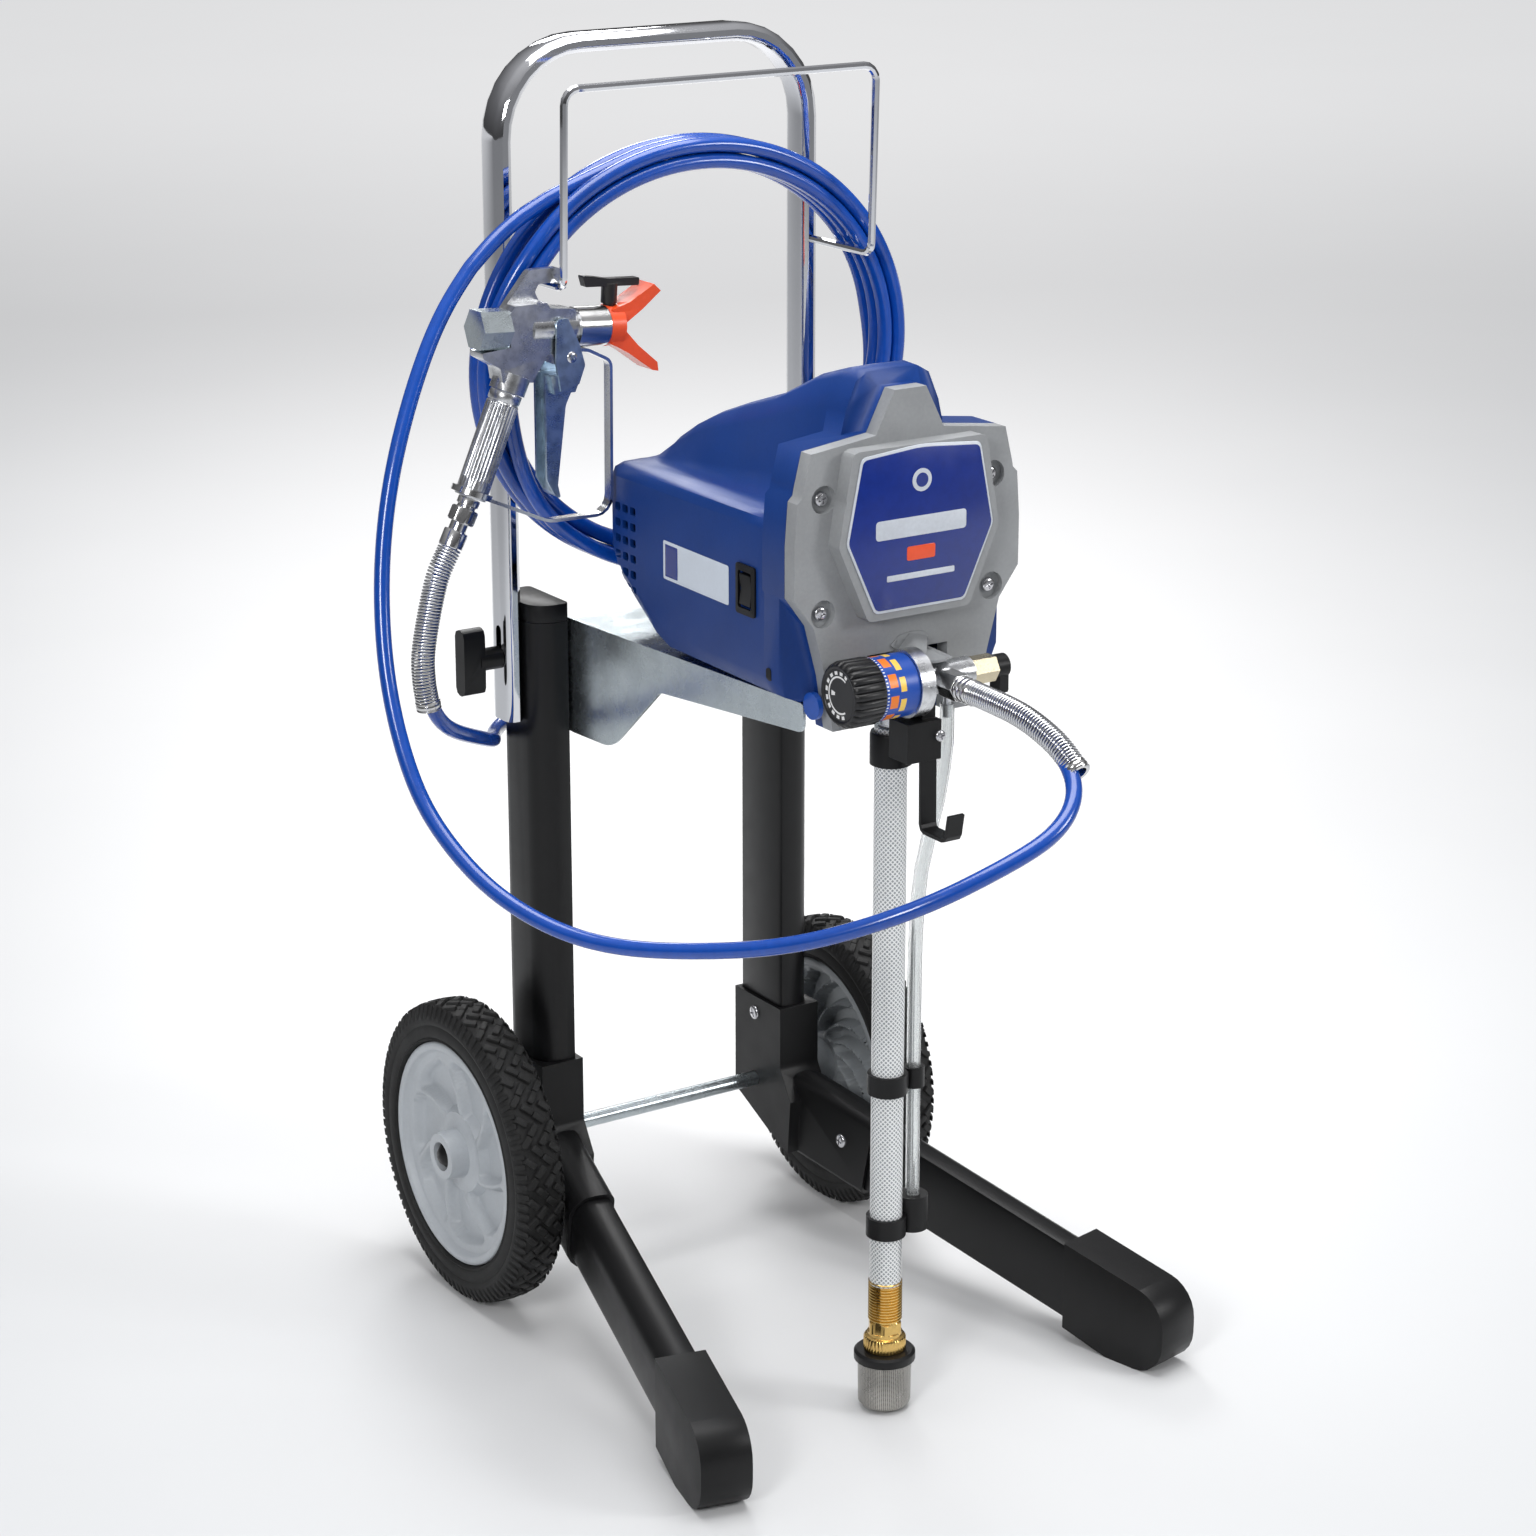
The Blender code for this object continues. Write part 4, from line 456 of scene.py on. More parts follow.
@dataclass(frozen=True)
class Cast(Finish):
    """Tumbled cast metal: pebbled, with darker hollows and bright rubbed spots."""

    def tint(self, graph: Graph) -> bpy.types.NodeSocket:
        """Silver with soft dull patches."""
        dull = graph.noise(0.008, 5.0).between(0.35, 0.7)
        return graph.mix(dull, self.colour, tuple(part * 0.72 for part in self.colour))

    def relief(self, graph: Graph) -> bpy.types.NodeSocket:
        """Shallow pebbling over finer grain."""
        broad = graph.bump(graph.noise(0.005, 2.0), self.grain * 3)
        return graph.bump(graph.noise(self.grain_size, 3.0), self.grain, broad)


@dataclass(frozen=True)
class Jacket(Finish):
    """The hose's thick clear-coated jacket, with long faint streaks of its extrusion."""

    def tint(self, graph: Graph) -> bpy.types.NodeSocket:
        """Deep blue, streaked and clouded."""
        streaks = graph.noise(0.006, 3.0).between(0.3, 0.7)
        clouds = graph.noise(0.12, 2.0).between(0.35, 0.65)
        return graph.mix(streaks * 0.5 + clouds * 0.5, tuple(p * 0.8 for p in self.colour), self.colour)


@dataclass(frozen=True)
class Braid(Finish):
    """A clear tube over white yarn, which crosses itself in a close net round a vertical axis."""

    centre: tuple[float, float] = (0.0, 0.0)
    strands: int = 12
    pitch: float = 0.034
    yarn: Colour = (0.93, 0.94, 0.95)

    def net(self, graph: Graph) -> Value:
        """Where the yarns are.

        Args:
            graph: the material's nodes.

        Returns:
            1 on the yarns and 0 between them.
        """
        x, y, z = graph.local(spot(self.centre[0], self.centre[1], 0.0))
        _, turn = graph.polar(x, y)
        right = ((turn + z / self.pitch) * self.strands).fraction() - 0.5
        left = ((turn - z / self.pitch) * self.strands).fraction() - 0.5
        return (abs(right).most(abs(left))).between(0.24, 0.36)

    def tint(self, graph: Graph) -> bpy.types.NodeSocket:
        """White yarn over a greyer gap."""
        return graph.mix(self.net(graph), self.colour, self.yarn)

    def relief(self, graph: Graph) -> bpy.types.NodeSocket:
        """The yarns stand up a little under the clear skin."""
        return graph.bump(self.net(graph), self.grain)


@dataclass(frozen=True)
class Clear(Finish):
    """Clear or smoky tube, seen through."""

    see_through: float = 0.85

    def build(self) -> bpy.types.Material:
        """Makes the material."""
        graph = Graph(self.name)
        return graph.surface(
            Base_Color=self.tint(graph),
            Roughness=self.gloss(graph),
            Normal=self.relief(graph),
            Transmission_Weight=self.see_through,
            IOR=1.42,
        )


@dataclass(frozen=True)
class DialScale(Finish):
    """The printed ring under the pressure knob: blocks and ticks of two warm colours on blue."""

    centre: tuple[float, float] = (0.0, 0.0)
    start: float = 0.0
    first: Colour = (0.90, 0.22, 0.02)
    second: Colour = (0.95, 0.62, 0.10)

    def tint(self, graph: Graph) -> bpy.types.NodeSocket:
        """Blue with two rows of blocks.

        Args:
            graph: the material's nodes.

        Returns:
            The colour's socket.
        """
        x, y, z = graph.local(spot(self.start, self.centre[0], self.centre[1]))
        _, turn = graph.polar(y, z)
        wide = (turn * 9.0).fraction()
        fine = (turn * 54.0).fraction()
        near = x.above(0.0035) * x.below(0.0105) * wide.below(0.62)
        far = x.above(0.0125) * x.below(0.0175) * wide.above(0.20) * wide.below(0.86)
        ticks = x.above(0.0005) * x.below(0.0022) * fine.below(0.35)
        base = graph.mix(ticks, self.colour, (0.85, 0.87, 0.9))
        return graph.mix(far, graph.mix(near, base, self.first), self.second)


@dataclass(frozen=True)
class DialFace(Finish):
    """The knob's moulding, with white arcs and a mark printed on its flat end."""

    centre: tuple[float, float] = (0.0, 0.0)
    end: float = 0.0

    def tint(self, graph: Graph) -> bpy.types.NodeSocket:
        """Black with a pale sweep of growing arcs.

        Args:
            graph: the material's nodes.

        Returns:
            The colour's socket.
        """
        x, y, z = graph.local(spot(self.end, self.centre[0], self.centre[1]))
        radius, turn = graph.polar(y, z)
        face = x.below(0.0016)
        sweep = turn.above(0.16) * turn.below(0.84)
        arc = radius.above(0.0128) * radius.below(0.0142) * sweep
        block = radius.above(0.0152) * radius.below(0.0178) * (turn * 16.0).fraction().below(0.55) * sweep
        mark = radius.above(0.006) * radius.below(0.0105) * turn.above(0.47) * turn.below(0.53)
        print_mask = (arc + block + mark).least(1.0) * face
        return graph.mix(print_mask, Finish.tint(self, graph), (0.85, 0.85, 0.84))


@dataclass(frozen=True)
class Perforated(Finish):
    """Fine woven wire round a vertical axis, with its holes painted black as the shade inside the basket."""

    centre: tuple[float, float] = (0.0, 0.0)
    around: float = 84.0
    pitch: float = 0.0011

    def holes(self, graph: Graph) -> Value:
        """Where the holes are.

        Args:
            graph: the material's nodes.

        Returns:
            1 in the holes and 0 on the wires.
        """
        x, y, z = graph.local(spot(self.centre[0], self.centre[1], 0.0))
        _, turn = graph.polar(x, y)
        across = abs((turn * self.around).fraction() - 0.5)
        up = abs((z / self.pitch).fraction() - 0.5)
        return 1 - across.most(up).between(0.22, 0.34)

    def tint(self, graph: Graph) -> bpy.types.NodeSocket:
        """Steel wires over holes painted black: painted shade of the basket's inside."""
        return graph.mix(self.holes(graph), self.colour, (0.02, 0.02, 0.02))

    def relief(self, graph: Graph) -> bpy.types.NodeSocket:
        """The holes sink."""
        return graph.bump(1 - self.holes(graph), self.grain)


@dataclass(frozen=True)
class Backdrop(Finish):
    """Seamless studio paper with painted light: a pool of light painted brightest behind the object, painted shade
    greyer round it, and a painted glow far off.
    """

    eye: tuple[float, float] = (0.0, 0.0)
    heading: float = 0.0
    edge: Colour = (0.5, 0.5, 0.5)

    def build(self) -> bpy.types.Material:
        """Makes the material: a painted pool of light, paler in the middle of the sweep as the camera sees it, painted
        shade greyer to the sides, and a painted glow that grows with distance from the camera.
        """
        graph = Graph(self.name)
        x, y, _ = graph.local(Vector((*self.eye, 0.0)), (0.0, 0.0, self.heading))
        away = y.most(0.4)
        aside = x / away
        tall = 1.3488 / away - 0.30
        # Painted pool of light: how far a place lies from the middle of the camera's view, which fades the paper from
        # its pale colour to its painted shade at the sides.
        spread = (aside * aside * 1.0 + tall * tall * 0.75).maths("SQRT")
        grain = graph.noise(0.4, 2.0) * 0.02 - 0.01
        share = (spread + grain).between(0.02, 0.34)
        # Painted glow: the paper emits its own colour, more the farther it lies from the camera.
        painted_glow = away.between(3.0, 11.0) * 0.62
        return graph.surface(
            Base_Color=graph.mix(share, self.colour, self.edge),
            Roughness=self.roughness,
            Emission_Color=graph.mix(painted_glow, (0.0, 0.0, 0.0), self.colour),
            Emission_Strength=0.8,
        )


BLACK_COAT = Finish("black_coat", "black_powder_coat", (0.0045, 0.0045, 0.005), 0.36, grain=0.00003,
                    grain_size=0.0009, specular=0.32)
BLACK_PLASTIC = Finish("black_plastic", "black_plastic", (0.005, 0.005, 0.0055), 0.42, grain=0.00006,
                       grain_size=0.0011, specular=0.30)
KNOB_PLASTIC = Finish("knob_plastic", "black_plastic", (0.0045, 0.0045, 0.005), 0.38, grain=0.00003, specular=0.32)
TYRE_RUBBER = Rubber("tyre_rubber", "tyre_rubber", (0.006, 0.006, 0.006), 0.70, grain=0.00008, grain_size=0.0014)
HUB_GREY = Finish("hub_grey", "hub_grey_plastic", (0.47, 0.50, 0.53), 0.42, grain=0.00003, shade=0.05)
# A darker copy of the hub's grey: painted shade for the inner faces, which turn away from the light.
HUB_GREY_PAINTED_SHADE = Finish("hub_grey_inner", "hub_grey_plastic", (0.30, 0.32, 0.335), 0.45, grain=0.00003, shade=0.08)
CHROME = Finish("chrome", "chrome", (0.72, 0.73, 0.76), 0.06, 1.0, grain=0.0, shade=0.03, marks=0.02)
ZINC = Plating("zinc_plate", "zinc_plate", (0.58, 0.64, 0.67), 0.27, 1.0, grain=0.00002, grain_size=0.003, marks=0.10)
BLUE_CASE = Finish("blue_case", "shroud_blue_plastic", (0.004, 0.038, 0.205), 0.42, grain=0.00005, shade=0.06,
                   marks=0.05, specular=0.35)
COVER_GREY = Finish("cover_grey", "cover_grey_plastic", (0.300, 0.310, 0.320), 0.52, grain=0.00010,
                    grain_size=0.0010, shade=0.08)
STEEL = Finish("bright_steel", "steel", (0.60, 0.60, 0.62), 0.24, 1.0, grain=0.00001, marks=0.10)
SPRING_STEEL = Finish("spring_steel", "steel", (0.66, 0.67, 0.69), 0.20, 1.0, grain=0.0, marks=0.08)
ALUMINIUM = Cast("cast_aluminium", "cast_aluminium", (0.70, 0.71, 0.73), 0.28, 1.0, grain=0.00003, marks=0.08)
TURNED = Finish("turned_steel", "steel", (0.70, 0.70, 0.70), 0.18, 1.0, grain=0.00002, grain_size=0.0009, marks=0.08)
BRASS = Finish("turned_brass", "brass", (0.72, 0.48, 0.16), 0.20, 1.0, grain=0.00001, shade=0.12, marks=0.10)
VALVE_BRASS = Finish("plated_brass", "brass", (0.60, 0.53, 0.38), 0.26, 1.0, grain=0.00002, shade=0.12)
HOSE_JACKET = Jacket(
    "hose_jacket", "hose_blue_plastic", (0.002, 0.070, 0.430), 0.22, coat=0.5, grain=0.00002, grain_size=0.004,
    marks=0.05,
)
BUTTON_BLUE = Finish("button_blue", "hose_blue_plastic", (0.01, 0.08, 0.42), 0.35)
BRAIDED = Braid(
    "braided_tube", "clear_tube_plastic", (0.30, 0.33, 0.34), 0.24, coat=0.6, grain=0.0004, centre=(-0.014, -0.356),
    strands=22, pitch=0.082,
)
CLEAR_TUBE = Clear("clear_tube", "clear_tube_plastic", (0.93, 0.95, 0.95), 0.06, grain=0.00003, shade=0.02, marks=0.02)
GUARD_ORANGE = Finish("guard_orange", "guard_orange_plastic", (0.85, 0.085, 0.018), 0.36, coat=0.2, grain=0.00003,
                      shade=0.06)
TRIGGER_BLUE = Cast("blued_steel", "trigger_steel", (0.48, 0.59, 0.69), 0.30, 1.0, grain=0.00003, marks=0.10)
TIP_BLACK = Finish("tip_black", "black_plastic", (0.014, 0.012, 0.012), 0.35, grain=0.00004)
SCALE_PRINT = DialScale(
    "scale_print", "hose_blue_plastic", (0.008, 0.07, 0.40), 0.32, grain=0.00002, centre=(-0.383, 0.5955), start=-0.0532
)
KNOB_FACE = DialFace("knob_face", "black_plastic", (0.008, 0.008, 0.009), 0.36, centre=(-0.383, 0.5955), end=-0.0800)
PANEL_BLUE = Jacket("panel_blue", "hose_blue_plastic", (0.006, 0.026, 0.230), 0.22, coat=0.4, grain=0.00001)
PANEL_RIM = Finish("panel_rim", "cover_grey_plastic", (0.62, 0.66, 0.72), 0.30, grain=0.00002)
STICKER = Finish("sticker", "cover_grey_plastic", (0.66, 0.72, 0.80), 0.35, grain=0.00001, shade=0.03)
# Strainer wire; its holes are painted black as painted shade.
STRAINER_MESH = Perforated("strainer_mesh", "steel", (0.62, 0.60, 0.56), 0.30, 0.9, grain=0.0003,
                           centre=(-0.014, -0.356))
# Matt near-black for painted shade, laid where an opening's shade falls.
PAINTED_SHADE_GAP = Finish("dark_gap", "black_plastic", (0.004, 0.004, 0.005), 0.7)


# ---- Making meshes -------------------------------------------------------------------------
def smooth_route(knots: Sequence[Vector], spacing: float) -> list[Vector]:
    """Points about one spacing apart on a smooth curve through the knots.

    Args:
        knots: the points that it passes through.
        spacing: the distance between points.

    Returns:
        The points.
    """
    padded = [2 * knots[0] - knots[1], *knots, 2 * knots[-1] - knots[-2]]
    out = []
    for a, b, c, d in zip(padded, padded[1:], padded[2:], padded[3:]):
        steps = max(1, round((c - b).length / spacing))
        for step in range(steps):
            t = step / steps
            out.append(0.5 * (2 * b + (c - a) * t + (2 * a - 5 * b + 4 * c - d) * t**2
                              + (3 * b - a - 3 * c + d) * t**3))
    return [*out, knots[-1].copy()]


def axes_on(axis: Vector, hint: Vector = Vector((0, 0, 1))) -> Matrix:
    """A turn whose third axis is axis, and whose second is near hint.

    Args:
        axis: the third axis.
        hint: what the second axis leans towards.

    Returns:
        The turn.
    """
    along = axis.normalized()
    if abs(along.dot(hint.normalized())) > 0.98:
        hint = Vector((0, 1, 0))
    across = hint.cross(along).normalized()
    return Matrix((across, along.cross(across), along)).transposed()


def skin(rings: Sequence[Sequence[Vector]], closed: bool = False, caps: bool = True) -> bmesh.types.BMesh:
    """A surface over rings of points.

    Args:
        rings: rings with the same number of points.
        closed: whether the last ring joins the first.
        caps: whether the two ends are closed.

    Returns:
        The mesh.
    """
    mesh = bmesh.new()
    made = [[mesh.verts.new(point) for point in ring] for ring in rings]
    pairs = list(zip(made, made[1:]))
    if closed:
        pairs.append((made[-1], made[0]))
    for low, high in pairs:
        for index in range(len(low)):
            after = (index + 1) % len(low)
            mesh.faces.new((low[index], low[after], high[after], high[index]))
    if caps and not closed:
        mesh.faces.new(list(reversed(made[0])))
        mesh.faces.new(made[-1])
    bmesh.ops.recalc_face_normals(mesh, faces=mesh.faces)
    return mesh


def tube(
    points: Sequence[Vector], radius: float | Callable[[float], float], sides: int = 12, closed: bool = False
) -> bmesh.types.BMesh:
    """A round bar along points.

    Args:
        points: its centre line.
        radius: its radius, or a function of the share of the length.
        sides: faces round it.
        closed: whether it is a ring.

    Returns:
        The mesh.
    """
    rings = []
    count = len(points)
    normal: Vector | None = None
    for index, point in enumerate(points):
        before = points[index - 1] if index or closed else point
        after = points[(index + 1) % count] if index < count - 1 or closed else point
        along = (after - before).normalized()
        if normal is None:
            normal = axes_on(along).col[0].copy()
        normal = (normal - along * normal.dot(along)).normalized()
        other = along.cross(normal)
        wide = radius(index / max(1, count - 1)) if callable(radius) else radius
        ring = []
        for step in range(sides):
            angle = 2 * math.pi * step / sides
            ring.append(point + (normal * math.cos(angle) + other * math.sin(angle)) * wide)
        rings.append(ring)
    return skin(rings, closed)


def turned(
    profile: Outline,
    origin: Vector,
    axis: Vector,
    steps: int = 48,
    shape: Callable[[float, float, float], float] | None = None,
    closed: bool = False,
) -> bmesh.types.BMesh:
    """A lathe-turned piece.

    Args:
        profile: radii and places along the axis.
        origin: the axis's zero.
        axis: its direction.
        steps: faces round it.
        shape: the radius for an angle, a radius and a place, where it isn't round.
        closed: whether the profile is a loop, which leaves a hole in the middle.

    Returns:
        The mesh.
    """
    turn = axes_on(axis)
    rings = []
    for radius, along in profile:
        ring = []
        for step in range(steps):
            angle = 2 * math.pi * step / steps
            wide = shape(angle, radius, along) if shape else radius
            ring.append(origin + turn @ Vector((wide * math.cos(angle), wide * math.sin(angle), along)))
        rings.append(ring)
    return skin(rings, closed)


def rounded(corners: Sequence[tuple[float, float, float]], steps: int = 5) -> list[tuple[float, float]]:
    """An outline whose corners are rounded.

    Args:
        corners: two places and a radius each.
        steps: points in a corner.

    Returns:
        The outline.
    """
    out = []
    for index, (u, v, radius) in enumerate(corners):
        here = Vector((u, v))
        before = Vector(corners[index - 1][:2]) - here
        after = Vector(corners[(index + 1) % len(corners)][:2]) - here
        half = before.angle(after) / 2
        reach = min(radius / math.tan(half), before.length * 0.49, after.length * 0.49) if radius else 0.0
        if reach <= 0:
            out.append((u, v))
            continue
        start = here + before.normalized() * reach
        end = here + after.normalized() * reach
        for step in range(steps + 1):
            t = step / steps
            bend = start * (1 - t) ** 2 + here * 2 * t * (1 - t) + end * t**2
            out.append((bend.x, bend.y))
    return out


def box_outline(half_u: float, half_v: float, corner: float, steps: int = 5) -> list[tuple[float, float]]:
    """A rectangle with round corners about zero."""
    return rounded(
        [(-half_u, -half_v, corner), (half_u, -half_v, corner), (half_u, half_v, corner), (-half_u, half_v, corner)],
        steps,
    )


def slab(outline: Outline, origin: Vector, turn: Matrix, depth: float, edge: float = 0.0) -> bmesh.types.BMesh:
    """A flat piece: an outline pulled along the turn's third axis.

    Args:
        outline: its points on the turn's first two axes.
        origin: where the outline's zero is, at its back.
        turn: its axes.
        depth: its thickness.
        edge: how far its front edge is eased.

    Returns:
        The mesh.
    """
    centre = sum((Vector(p) for p in outline), Vector((0.0, 0.0))) / len(outline)
    rings = []
    levels = [(0.0, 0.0), (0.0, depth)] if not edge else [
        (0.0, 0.0), (0.0, depth - edge), (edge * 0.3, depth - edge * 0.3), (edge, depth)
    ]
    for inset, height in levels:
        ring = []
        for u, v in outline:
            away = Vector((u, v)) - centre
            reach = max(0.0, 1 - inset / max(away.length, 1e-6))
            flat = centre + away * reach
            ring.append(origin + turn @ Vector((flat.x, flat.y, height)))
        rings.append(ring)
    return skin(rings)


def helix(route: Sequence[Vector], radius: float, pitch: float, steps: int = 14) -> list[Vector]:
    """The centre line of a spring wound round a route.

    Args:
        route: the spring's axis.
        radius: from the axis to the wire's middle.
        pitch: the distance between turns.
        steps: points in each turn.

    Returns:
        The wire's points.
    """
    lengths = [0.0]
    for a, b in zip(route, route[1:]):
        lengths.append(lengths[-1] + (b - a).length)
    count = max(8, round(lengths[-1] / pitch * steps))
    out = []
    segment = 0
    normal = axes_on(route[1] - route[0]).col[0].copy()
    for index in range(count + 1):
        reach = lengths[-1] * index / count
        while segment < len(route) - 2 and lengths[segment + 1] < reach:
            segment += 1
        share = (reach - lengths[segment]) / max(1e-9, lengths[segment + 1] - lengths[segment])
        along = (route[segment + 1] - route[segment]).normalized()
        normal = (normal - along * normal.dot(along)).normalized()
        angle = 2 * math.pi * index / steps
        side = normal * math.cos(angle) + along.cross(normal) * math.sin(angle)
        out.append(route[segment].lerp(route[segment + 1], share) + side * radius)
    return out


def joined(parts: Iterable[bmesh.types.BMesh]) -> bmesh.types.BMesh:
    """All the parts in one mesh."""
    out = bmesh.new()
    for part in parts:
        step = bpy.data.meshes.new("step")
        part.to_mesh(step)
        part.free()
        out.from_mesh(step)
        bpy.data.meshes.remove(step)
    return out


MATERIALS: dict[str, bpy.types.Material] = {}


def material_of(finish: Finish) -> bpy.types.Material:
    """The finish's material, made once."""
    if finish.name not in MATERIALS:
        MATERIALS[finish.name] = finish.build()
    return MATERIALS[finish.name]


def piece(
    name: str,
    mesh: bmesh.types.BMesh,
    finish: Finish,
    body: Body,
    replaces: Sequence[str] = (),
    angle: float = 35.0,
    ride: bool = True,
) -> bpy.types.Object:
    """Makes one visible piece.

    Args:
        name: its name.
        mesh: its shape, in the row frame.
        finish: what it is made of.
        body: what it rides on.
        replaces: the CAD nodes that it stands for.
        angle: edges sharper than this stay sharp, in degrees.
        ride: False for a piece that bends between bodies.

    Returns:
        The object.
    """
    data = bpy.data.meshes.new(name)
    mesh.to_mesh(data)
    mesh.free()
    data.materials.append(material_of(finish))
    made = bpy.data.objects.new(name, data)
    bpy.context.scene.collection.objects.link(made)
    data.shade_smooth()
    data.set_sharp_from_angle(angle=math.radians(angle))
    if ride:
        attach(made, body.value)
    if replaces:
        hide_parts(*replaces)
    LOG.info("%s: %d faces", name, len(data.polygons))
    return made


def carried(node: str, finish: Finish, edge: float = 0.0, angle: float = 32.0) -> bpy.types.Object:
    """A CAD node's own shape with welded, smoothly shaded faces and eased edges.

    Args:
        node: the CAD node, which the piece stands for.
        finish: its finish.
        edge: the width of its eased edges.
        angle: edges sharper than this stay sharp, in degrees.

    Returns:
        The object.
    """
    source = FRAME["nodes"][node]
    mesh = bmesh.new()
    mesh.from_mesh(source.data)
    bmesh.ops.remove_doubles(mesh, verts=mesh.verts, dist=0.00002)
    bmesh.ops.dissolve_limit(mesh, angle_limit=math.radians(0.6), verts=mesh.verts, edges=mesh.edges)
    made = piece(f"{node}_shown", mesh, finish, Body(source["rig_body"]), [node], angle)
    if edge:
        bevel = made.modifiers.new("eased edges", "BEVEL")
        bevel.width = edge
        bevel.segments = 2
        bevel.limit_method = "ANGLE"
        bevel.angle_limit = math.radians(angle + 4)
        bevel.harden_normals = True
    return made


# ---- The studio ----------------------------------------------------------------------------
@dataclass
class Studio:
    """Camera, paper sweep and soft light."""

    eye: Vector = field(default_factory=lambda: Vector((-1.5123, -2.3148, 1.3488)))
    pitch: float = math.radians(90 - 17.684)
    heading: float = math.radians(-33.287)
    lens: float = 86.25
    paper: Colour = (0.93, 0.93, 0.93)
    # The colour of the painted shade at the paper's sides.
    paper_edge: Colour = (0.60, 0.61, 0.62)

    def camera(self) -> None:
        """Sets the camera."""
        data = bpy.data.cameras.new("camera")
        data.lens = self.lens
        data.sensor_width = 36.0
        data.clip_end = 100.0
        made = bpy.data.objects.new("camera", data)
        made.location = self.eye
        made.rotation_euler = (self.pitch, 0.0, self.heading)
        bpy.context.scene.collection.objects.link(made)
        bpy.context.scene.camera = made

    def floor(self) -> None:
        """Lays the paper, with its painted pool of light, painted shade at the sides and painted glow."""
        finish = Backdrop(
            "paper", "", self.paper, 0.75, eye=(self.eye.x, self.eye.y), heading=-self.heading, edge=self.paper_edge
        )
        mesh = bmesh.new()
        bmesh.ops.create_grid(mesh, x_segments=4, y_segments=4, size=30.0)
        data = bpy.data.meshes.new("paper")
        mesh.to_mesh(data)
        mesh.free()
        data.materials.append(finish.build())
        made = bpy.data.objects.new("paper", data)
        bpy.context.scene.collection.objects.link(made)

    def lamp(self, name: str, place: Vector, target: Vector, size: float, power: float) -> None:
        """Hangs one soft box.

        Args:
            name: its name.
            place: where it hangs.
            target: what it faces.
            size: its side.
            power: its watts.
        """
        data = bpy.data.lights.new(name, "AREA")
        data.shape = "SQUARE"
        data.size = size
        data.energy = power
        made = bpy.data.objects.new(name, data)
        made.location = place
        made.rotation_euler = (target - place).to_track_quat("-Z", "Y").to_euler()
        bpy.context.scene.collection.objects.link(made)

    def build(self) -> None:
        """Makes all of it."""
        self.camera()
        self.floor()
        middle = Vector((0.0, 0.0, 0.5))
        self.lamp("overhead", Vector((0.2, 0.0, 3.2)), middle, 2.2, 80.0)
        self.lamp("left box", Vector((-2.6, -1.8, 2.0)), middle, 0.8, 40.0)
        self.lamp("right box", Vector((2.2, -2.6, 1.8)), middle, 0.9, 36.0)
        self.lamp("back strip", Vector((1.2, 2.8, 2.4)), middle, 1.0, 30.0)
        self.room()

    def room(self) -> None:
        """A pale room whose walls darken towards their middle, so that bright metal has contrast."""
        world = bpy.data.worlds.new("room")
        world.use_nodes = True
        tree = world.node_tree
        place = tree.nodes.new("ShaderNodeTexCoord")
        parts = tree.nodes.new("ShaderNodeSeparateXYZ")
        ramp = tree.nodes.new("ShaderNodeValToRGB")
        for element, (stop, grey) in zip(ramp.color_ramp.elements, ((0.0, 0.10), (1.0, 1.0))):
            element.position = stop
            element.color = (grey, grey, grey * 1.02, 1.0)
        middle = ramp.color_ramp.elements.new(0.32)
        middle.color = (0.25, 0.25, 0.26, 1.0)
        tree.links.new(place.outputs["Generated"], parts.inputs[0])
        tree.links.new(parts.outputs[2], ramp.inputs[0])
        tree.links.new(ramp.outputs[0], tree.nodes["Background"].inputs["Color"])
        tree.nodes["Background"].inputs["Strength"].default_value = 0.62
        bpy.context.scene.world = world
        bpy.context.scene.view_settings.view_transform = "Standard"


# ---- The hose ------------------------------------------------------------------------------
class Slot(Enum):
    """Where a turn lies in the coil: its column fore and aft, and its row out from the inside."""

    OUTER_MIDDLE = (0, 1)
    OUTER_FRONT = (-1, 1)
    INNER_FRONT = (-1, 0)
    INNER_MIDDLE = (0, 0)
    INNER_REAR = (1, 0)
    OUTER_REAR = (1, 1)


